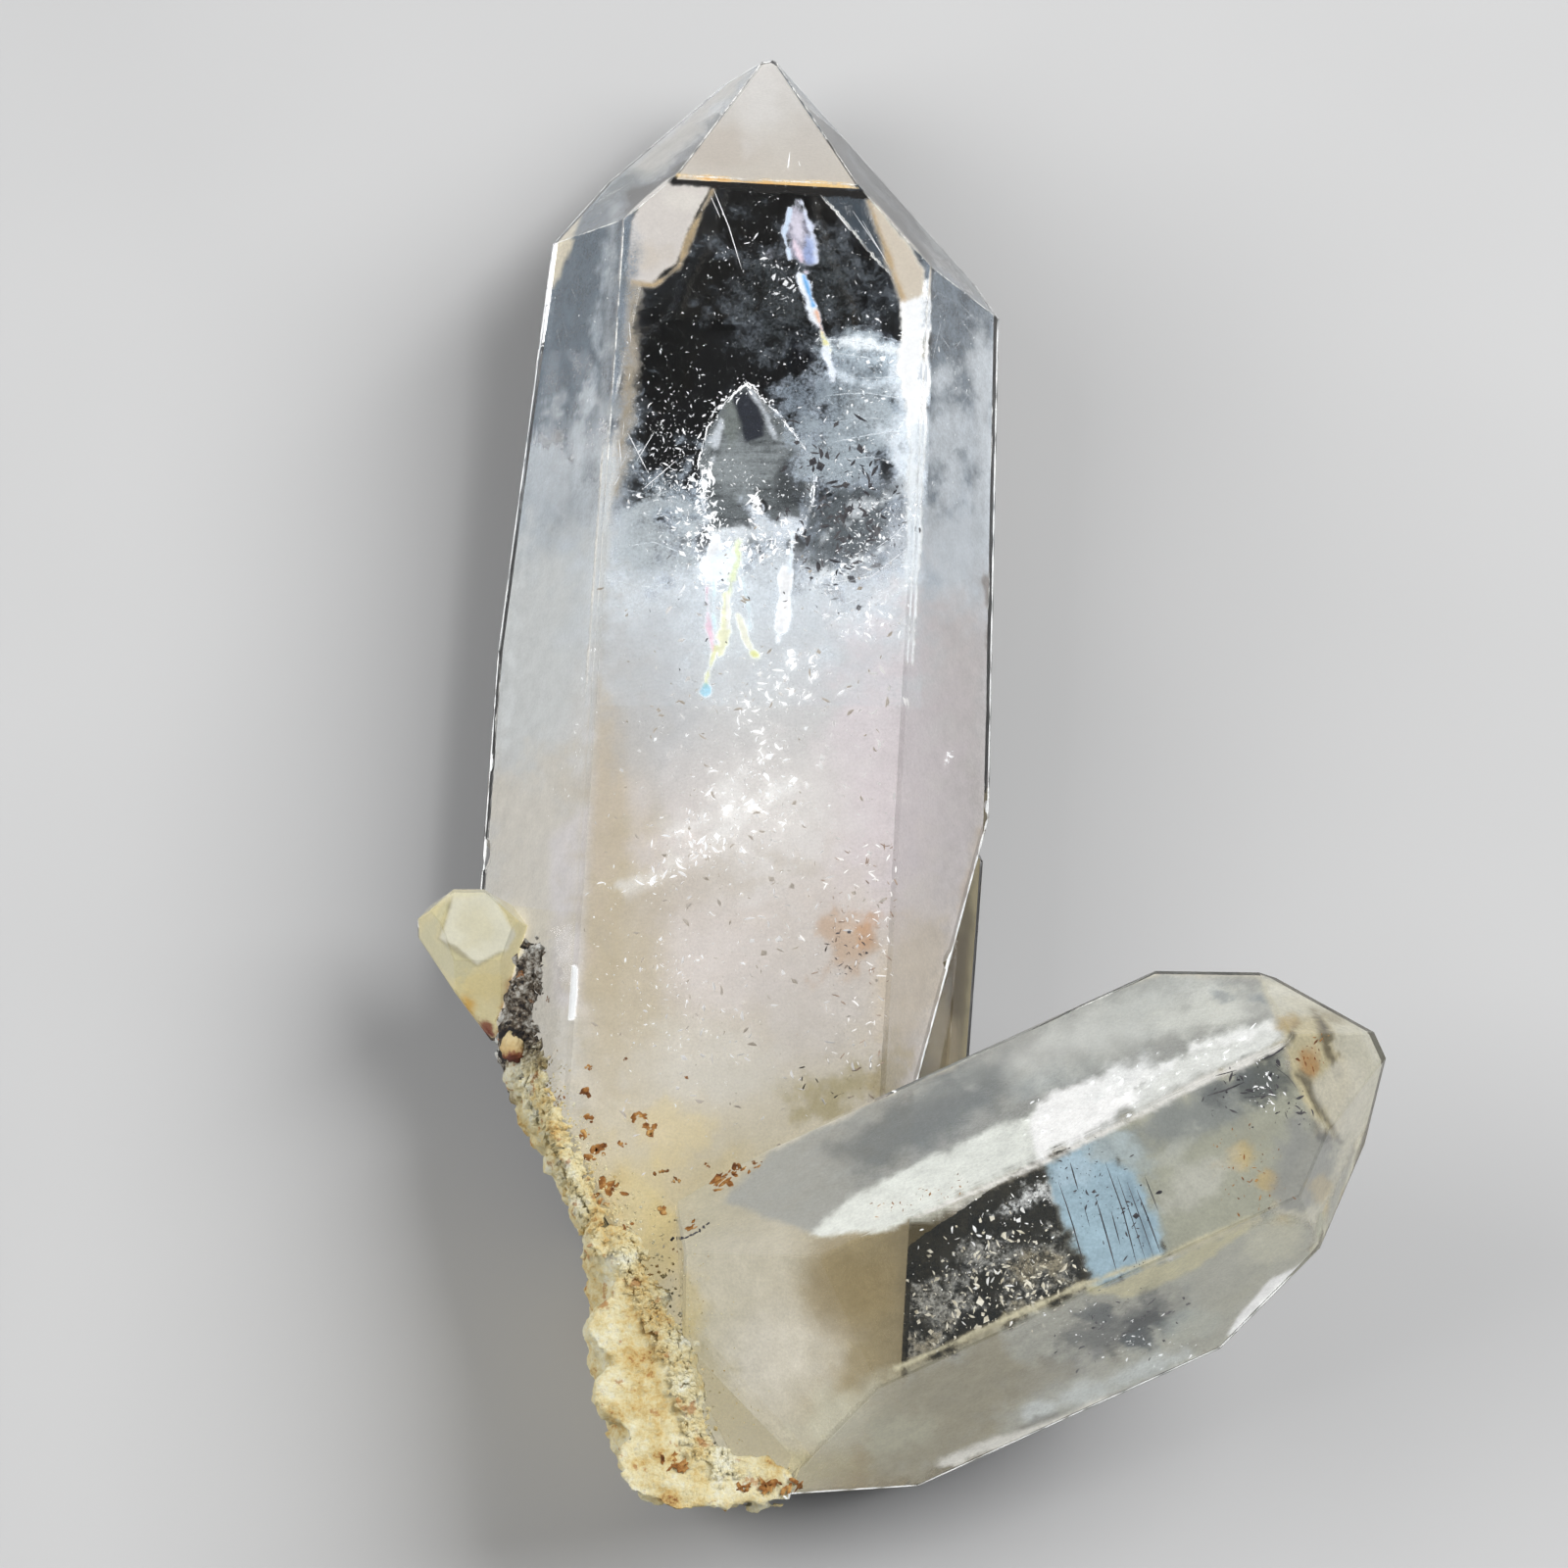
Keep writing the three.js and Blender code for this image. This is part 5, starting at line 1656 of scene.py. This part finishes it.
def cross_window_haze():
    """Whitish ragged flecks in the second point's dark window."""
    flecked = painted("cross_flecks", mottle=0.5, speckle=0.5, thin=2.0, size=0.5, shift=14.0)
    sheet("cross_window_haze", CROSS_WINDOW_HAZE_OUTLINE, CROSS_TOP, 2.4, CROSS_POINT,
          (rgb(150, 152, 150), 0.0), CROSS_WINDOW_HAZE_BRUSHES, flecked, step=4)


# Stains, grains and marks on the surface

# Each stain: its pixel and its half sizes in millimetres.
STAINS = [
    (597, 1112, 0.5, 0.3), (602, 1140, 0.3, 0.3), (596, 1158, 0.3, 0.3), (609, 1175, 0.6, 0.5),
    (652, 1139, 0.5, 0.25), (663, 1155, 0.4, 0.55), (634, 1167, 0.2, 0.2), (613, 1213, 1.1, 0.45),
    (675, 1195, 0.25, 0.2), (736, 1207, 0.9, 0.35), (746, 1198, 0.6, 0.3), (756, 1194, 0.5, 0.25),
    (772, 1188, 0.3, 0.2), (706, 1250, 0.5, 0.3), (757, 1517, 0.6, 0.25), (790, 1516, 1.2, 0.4),
    (815, 1518, 0.8, 0.3), (700, 1497, 0.9, 0.3), (682, 1488, 0.5, 0.3), (600, 1090, 0.2, 0.15),
    (676, 1235, 0.3, 0.4), (638, 1080, 0.15, 0.12), (700, 1100, 0.12, 0.12), (560, 1020, 0.2, 0.12),
    (572, 1120, 0.3, 0.18), (690, 1205, 0.3, 0.16), (640, 1250, 0.3, 0.2), (720, 1188, 0.16, 0.12),
]
FILMS_A_STAIN = 7
STREAK = [(686, 1264), (700, 1263), (712, 1257), (722, 1249)]
STREAK_PARTS = 8


def iron_stains():
    """Orange-brown iron oxide in ragged patches, and a darker streak."""
    draw = random.Random(31)
    mesh = bmesh.new()
    for x, y, half_x, half_y in STAINS:
        for _ in range(FILMS_A_STAIN):
            pixel = (x + draw.gauss(0, half_x * 9), y + draw.gauss(0, half_y * 9))
            place, normal = on_specimen(pixel)
            size = draw.uniform(0.2, 0.62)
            if place:
                add_film(mesh, draw, place, normal, (half_x * size, half_y * size), 0.02)
    new_piece("iron_stains", mesh, film("iron_stain", RUST, size=0.5, gloss=0.8), inside=False)
    mesh = bmesh.new()
    for step in range(STREAK_PARTS + 1):
        place, normal = on_surface(along_path(STREAK, step / STREAK_PARTS))
        add_film(mesh, draw, place, normal, (0.2, 0.1), 0.03)
    new_piece("dark_streak", mesh, film("dark_streak", DARK, size=0.5, gloss=0.8),
              inside=False)


# Where the matrix thins out over the quartz: its upper and lower end in pixels, and how wide it is there.
GRAIN_SPREAD = [
    ((540, 1080), 12), ((560, 1130), 16), ((586, 1200), 26), ((616, 1260), 44), ((640, 1330), 44),
    ((652, 1400), 40), ((662, 1460), 44), ((700, 1512), 30), ((790, 1520), 14),
]
# Where larger grains cover the seam between the crystals and the matrix.
SEAM = [(538, 1076), (548, 1112), (562, 1148), (580, 1190), (598, 1230), (614, 1276)]
# Grey and black bits between the small point and the long one.
ROUGH_BITS = [(545, 968), (540, 1000), (530, 1032), (538, 1060), (546, 1084)]
# The matrix's right border, where its grains run out over the quartz.
BORDER = [(640, 1270), (664, 1330), (690, 1390), (704, 1440), (716, 1476), (744, 1502)]
# Each path with larger grains: how many pixels they stray, how many they are and how large.
CHIP_PATHS = [(SEAM, 6, 1100, 0.34), (ROUGH_BITS, 6, 480, 0.34), (BORDER, 7, 900, 0.26)]
LOOSE_GRAINS = 1500
NODULE_PIXEL = (524, 1066)
NODULE_SIZE = (0.8, 0.95, 0.6)
# How far the nodule's middle lies below its pixel, and its colours from its underside up.
NODULE_DROP = 0.1
NODULE_TONES = [
    (0.1, rgb(84, 38, 24)), (0.24, rgb(122, 66, 36)), (0.36, rgb(188, 160, 106)), (0.7, rgb(208, 190, 144)),
]
# The pixels about one, across and down, whose surfaces bridge the gap between the crystals and the matrix.
GAP_REACH = ((0, 0), (-9, 0), (9, 0), (0, 9))


def on_specimen(pixel):
    """The place and normal of whatever of the quartz and the matrix the pixel shows."""
    hits = [tree.ray_cast(CAMERA_PLACE, sight_line(pixel)) for tree in (quartz_tree, crust_tree)]
    hits = [hit for hit in hits if hit[0]]
    return min(hits, key=lambda hit: hit[3])[:2] if hits else (None, None)


def over_gap(pixel):
    """The place on the pixel's sight line as near the camera as the nearest of the surfaces about it."""
    pixels = [(pixel[0] + across, pixel[1] + down) for across, down in GAP_REACH]
    places = [place for place, _ in map(on_specimen, pixels) if place]
    reach = min(((place - CAMERA_PLACE).length for place in places), default=None)
    return reach and CAMERA_PLACE + sight_line(pixel) * reach


def nodule():
    """A tan nodule with a dark red underside, below the small point."""
    place, _ = on_specimen(NODULE_PIXEL)
    mesh = bmesh.new()
    bmesh.ops.create_icosphere(mesh, subdivisions=4, radius=1)
    for vertex in mesh.verts:
        near, next_near = noise.voronoi(vertex.co * 1.3 + Vector((4, 2, 1)))[0][:2]
        vertex.co *= 0.86 + 0.3 * (next_near - near)
        sized = Vector([value * size for value, size in zip(vertex.co, NODULE_SIZE)])
        vertex.co = place + sized - IMAGE_UP * NODULE_DROP
    material, tree, shader = new_material("nodule", Roughness=0.6)
    where = own_place(tree)
    tone = calc(tree, "MULTIPLY_ADD", along(tree, where, IMAGE_UP, place), 0.5, 0.5)
    tone = calc(tree, "MULTIPLY_ADD", calc(tree, "SUBTRACT", grain(tree, where, 0.4), 0.5), 0.6, tone)
    link(tree, colours(tree, tone, NODULE_TONES), shader.inputs["Base Color"])
    new_piece("nodule", mesh, material, inside=False)


def loose_grains():
    """Grains of matrix scattered on the quartz beside it, fewer and smaller farther away."""
    draw = random.Random(33)
    mesh = bmesh.new()
    path = [middle for middle, _ in GRAIN_SPREAD]
    widths = [(number / (len(path) - 1), width) for number, (_, width) in enumerate(GRAIN_SPREAD)]
    for _ in range(LOOSE_GRAINS):
        share = draw.random()
        x, y = along_path(path, share)
        away = abs(draw.gauss(0, 1))
        place, normal = on_surface((x + away * level(widths, share), y + draw.gauss(0, 8)))
        size = draw.uniform(0.05, 0.26) / (1 + away)
        if place:
            radii = (size, size * draw.uniform(0.6, 1), size * 0.6)
            add_chip(mesh, draw, place + normal * size * 0.1, radii, normal)
    for path, width, count, largest in CHIP_PATHS:
        for _ in range(count):
            place = over_gap([value + draw.gauss(0, width) for value in along_path(path, draw.random())])
            size = 0.08 + largest * draw.random() ** 2
            if place:
                add_chip(mesh, draw, place, (size, size * draw.uniform(0.6, 1), size * 0.4), TOWARDS_CAMERA)
    new_piece("loose_grains", mesh, stony_matrix("loose_matrix"), inside=False)


def etch_marks():
    """Small upright dashes and pits, lower right on the long point's front; the light ones are painted
    highlights.
    """
    draw = random.Random(32)
    shades = [
        ("dark_etch_marks", [(0.35, rgb(112, 92, 78)), (0.6, rgb(164, 146, 132))], 150),
        ("painted_etch_highlights", [(0.35, rgb(222, 218, 214)), (0.6, rgb(244, 242, 240))], 190),
    ]
    for name, stops, count in shades:
        mesh = bmesh.new()
        for _ in range(count):
            x, y = draw.triangular(810, 985, 930), draw.uniform(860, 1120)
            place, normal = on_surface((x, y))
            if place and normal.z > 0.9 and place.z > LEVEL_FRONT:
                size = draw.uniform(0.06, 0.3)
                add_film(mesh, draw, place, normal, (size * 0.22, size), 0.01, corners=7)
        new_piece(name, mesh, film(name, stops, size=0.4), inside=False)


# The matrix

CRUST_VOXEL = 0.18
# Depths of the matrix's grains, pits and lumps in millimetres, and how many of each lie along one.
GRAIN_DEPTH = 0.3
LUMP_DEPTH = 0.45
SHALLOWER = 0.6
GRAIN_RATE, PIT_RATE, LUMP_RATE = 1.1, 2.7, 0.33
# The matrix is drawn in by this much, and its lowest part stays this far above the floor.
CRUST_INSET = 0.05
CRUST_FLOOR = 0.15
# The matrix's colours, from its crests to its pits: away from the small point and near it.
CREAM_TONES = [
    (0.34, rgb(240, 238, 216)), (0.45, rgb(232, 222, 180)), (0.55, rgb(222, 204, 150)),
    (0.64, rgb(208, 176, 110)), (0.71, rgb(164, 112, 58)), (0.76, rgb(74, 52, 38)),
]
GREY_TONES = [
    (0.38, rgb(226, 226, 220)), (0.45, rgb(176, 172, 162)), (0.51, rgb(100, 88, 72)), (0.57, rgb(34, 30, 30)),
]
CRACK_TINT = rgb(130, 98, 58)
STAIN_TINT = rgb(172, 112, 54)
# Where along y the matrix turns from cream to grey.
GREY_FROM = (-20.0, -16.5)


def stony_matrix(name):
    """Cream grains with orange-brown iron stains and dark pits, grey near the small point."""
    material, tree, shader = new_material(name, Roughness=0.82)
    place = own_place(tree)
    big = grain(tree, place, 2.2, detail=6.0, rough=0.66, shift=4.0)
    fine = grain(tree, place, 0.3, detail=5.0, rough=0.7, shift=1.0)
    tone = calc(tree, "MULTIPLY_ADD", calc(tree, "SUBTRACT", fine, 0.5), 0.45, big)
    cream = colours(tree, tone, CREAM_TONES)
    grey = colours(tree, tone, GREY_TONES)
    up = calc(tree, "MULTIPLY_ADD", calc(tree, "SUBTRACT", big, 0.5), 8.0, along(tree, place, (0, 1, 0)))
    shade = blended(tree, spread(tree, up, *GREY_FROM), cream, grey)
    crack = spread(tree, fine, 0.34, 0.46, 0.75, 1.0)
    shade = blended(tree, crack, CRACK_TINT, shade)
    stained = spread(tree, grain(tree, place, 1.0, detail=4.0, rough=0.6, shift=12.0), 0.6, 0.68, 0.0, 0.7)
    link(tree, blended(tree, stained, shade, STAIN_TINT), shader.inputs["Base Color"])
    link(tree, bumps(tree, fine, 0.25), shader.inputs["Normal"])
    return material


def rock_crust():
    """The matrix, with its lumps broken up into grains."""
    piece, mesh = copy_of_node("matrix_crust", "rock_crust", stony_matrix("stony_matrix"))
    mesh.to_mesh(piece.data)
    mesh.free()
    remesh = piece.modifiers.new("remesh", "REMESH")
    remesh.mode = "VOXEL"
    remesh.voxel_size = CRUST_VOXEL * MM
    depsgraph = bpy.context.evaluated_depsgraph_get()
    data = bpy.data.meshes.new_from_object(piece.evaluated_get(depsgraph))
    piece.modifiers.remove(remesh)
    piece.data = data
    data.name = "rock_crust"
    normals = [vertex.normal.copy() for vertex in data.vertices]
    for vertex, normal in zip(data.vertices, normals):
        place = vertex.co / MM
        near, next_near = noise.voronoi(place * GRAIN_RATE)[0][:2]
        pit = noise.voronoi(place * PIT_RATE + Vector((3, 1, 7)))[0][0]
        lump = noise.fractal(place * LUMP_RATE, 0.9, FINER, 3)
        rise = (next_near - near) * GRAIN_DEPTH - pit * GRAIN_DEPTH * SHALLOWER
        rise += lump * LUMP_DEPTH * SHALLOWER
        vertex.co = (place + normal * (rise - CRUST_INSET)) * MM
        vertex.co.z = max(vertex.co.z, CRUST_FLOOR * MM)
    for polygon in data.polygons:
        polygon.use_smooth = True


# The studio

# The floor's side in metres, and how many millimetres it lies under the specimen.
FLOOR_SIZE = 3.0
FLOOR_GAP = 0.05
FLOOR_GREYS = [(0.3, (0.50, 0.50, 0.50)), (0.7, (0.53, 0.53, 0.53))]
# The world's light at the horizon and overhead, and how high overhead begins.
SKY_STRENGTH = (0.55, 0.15)
SKY_TOP = 0.6
SKY_TINT = (0.95, 0.97, 1, 1)
LAMP_TARGET = Vector((0, 0, 0.01))
SENSOR_WIDTH = 36
MOST_BOUNCES = 14
MOST_SEEN_THROUGH = 40


def pale_floor():
    material, tree, shader = new_material("pale_floor", Roughness=0.9)
    shade = grain(tree, own_place(tree), 40.0, detail=2.0)
    link(tree, colours(tree, shade, FLOOR_GREYS), shader.inputs["Base Color"])
    half, low = FLOOR_SIZE / 2, -FLOOR_GAP * MM
    data = bpy.data.meshes.new("floor")
    corners = [(-half, -half, low), (half, -half, low), (half, half, low), (-half, half, low)]
    data.from_pydata(corners, [], [(0, 1, 2, 3)])
    data.materials.append(material)
    floor = linked("floor", data)
    return floor


def softbox(name, place, size, power, receivers):
    data = bpy.data.lights.new(name, "AREA")
    data.shape = "RECTANGLE"
    data.size, data.size_y = size
    data.energy = power
    light = linked(name, data)
    light.location = place
    light.rotation_euler = (LAMP_TARGET - Vector(place)).to_track_quat("-Z", "Y").to_euler()
    light.light_linking.receiver_collection = receivers
    return light


def group_of(name, members):
    group = bpy.data.collections.new(name)
    bpy.context.scene.collection.children.link(group)
    for member in members:
        group.objects.link(member)
    return group


# Each lamp's place, size and power.
OUTSIDE_LAMPS = [("key", (0.35, 0.1, 0.45), (0.4, 0.4), 4.0), ("fill", (-0.4, 0.0, 0.3), (0.3, 0.5), 1.6)]
INSIDE_LAMPS = [
    ("right_inside", (0.45, 0.1, 0.25), (0.4, 0.3), 2.1),
    ("left_inside", (-0.45, 0.0, 0.25), (0.4, 0.3), 2.35),
    ("low_inside", (0.1, -0.5, 0.25), (0.5, 0.3), 2.6),
    ("high_inside", (-0.15, 0.45, 0.25), (0.5, 0.3), 2.6),
]


def studio(floor):
    """Soft lamps, and others that light what is inside the quartz past its clear faces."""
    outside = group_of("outside", [floor, *outside_pieces])
    inside = group_of("inside", inside_pieces)
    cores = [piece for piece in inside_pieces if piece.name in ("milk_long_3", "milk_cross")]
    blockers = group_of("blockers", [floor, *cores])
    for name, place, size, power in OUTSIDE_LAMPS:
        softbox(name, place, size, power, outside)
    for name, place, size, power in INSIDE_LAMPS:
        lamp = softbox(name, place, size, power, inside)
        lamp.light_linking.blocker_collection = blockers
        lamp.visible_camera = lamp.visible_transmission = False
    world = bpy.data.worlds.new("studio")
    world.use_nodes = True
    tree = world.node_tree
    direction = tree.nodes.new("ShaderNodeTexCoord").outputs["Generated"]
    height = add_node(tree, "ShaderNodeSeparateXYZ", Vector=direction).outputs["Z"]
    background = tree.nodes["Background"]
    background.inputs["Color"].default_value = SKY_TINT
    link(tree, spread(tree, height, 0.0, SKY_TOP, *SKY_STRENGTH), background.inputs["Strength"])
    bpy.context.scene.world = world


def camera():
    data = bpy.data.cameras.new("camera")
    data.sensor_width = SENSOR_WIDTH
    data.lens = data.sensor_width * CAMERA_DISTANCE / (2 * PHOTO_MIDDLE * PIXEL)
    made = linked("camera", data)
    made.location = (CAMERA_PLACE + HOME) * MM
    made.rotation_euler = (-TOWARDS_CAMERA).to_track_quat("-Z", "Y").to_euler()
    bpy.context.scene.camera = made


crystal_shell()
edge_lines()
rock_crust()
long_milk()
cross_milk()
small_milk()
back_milk()
tip_veil_and_reflection()
tip_line()
tip_shadow()
window_haze()
left_panes_and_reflection()
right_panes_and_sheen()
water_chamber()
chamber_film()
chamber_rim()
gas_bubble()
all_sparks()
light_flakes()
all_threads()
cross_window_haze()
iron_stains()
nodule()
loose_grains()
etch_marks()
studio(pale_floor())
camera()

bpy.context.scene.view_settings.view_transform = "Standard"
cycles = bpy.context.scene.cycles
cycles.caustics_refractive = False
cycles.caustics_reflective = False
cycles.max_bounces = MOST_BOUNCES
cycles.transmission_bounces = MOST_BOUNCES
cycles.transparent_max_bounces = MOST_SEEN_THROUGH
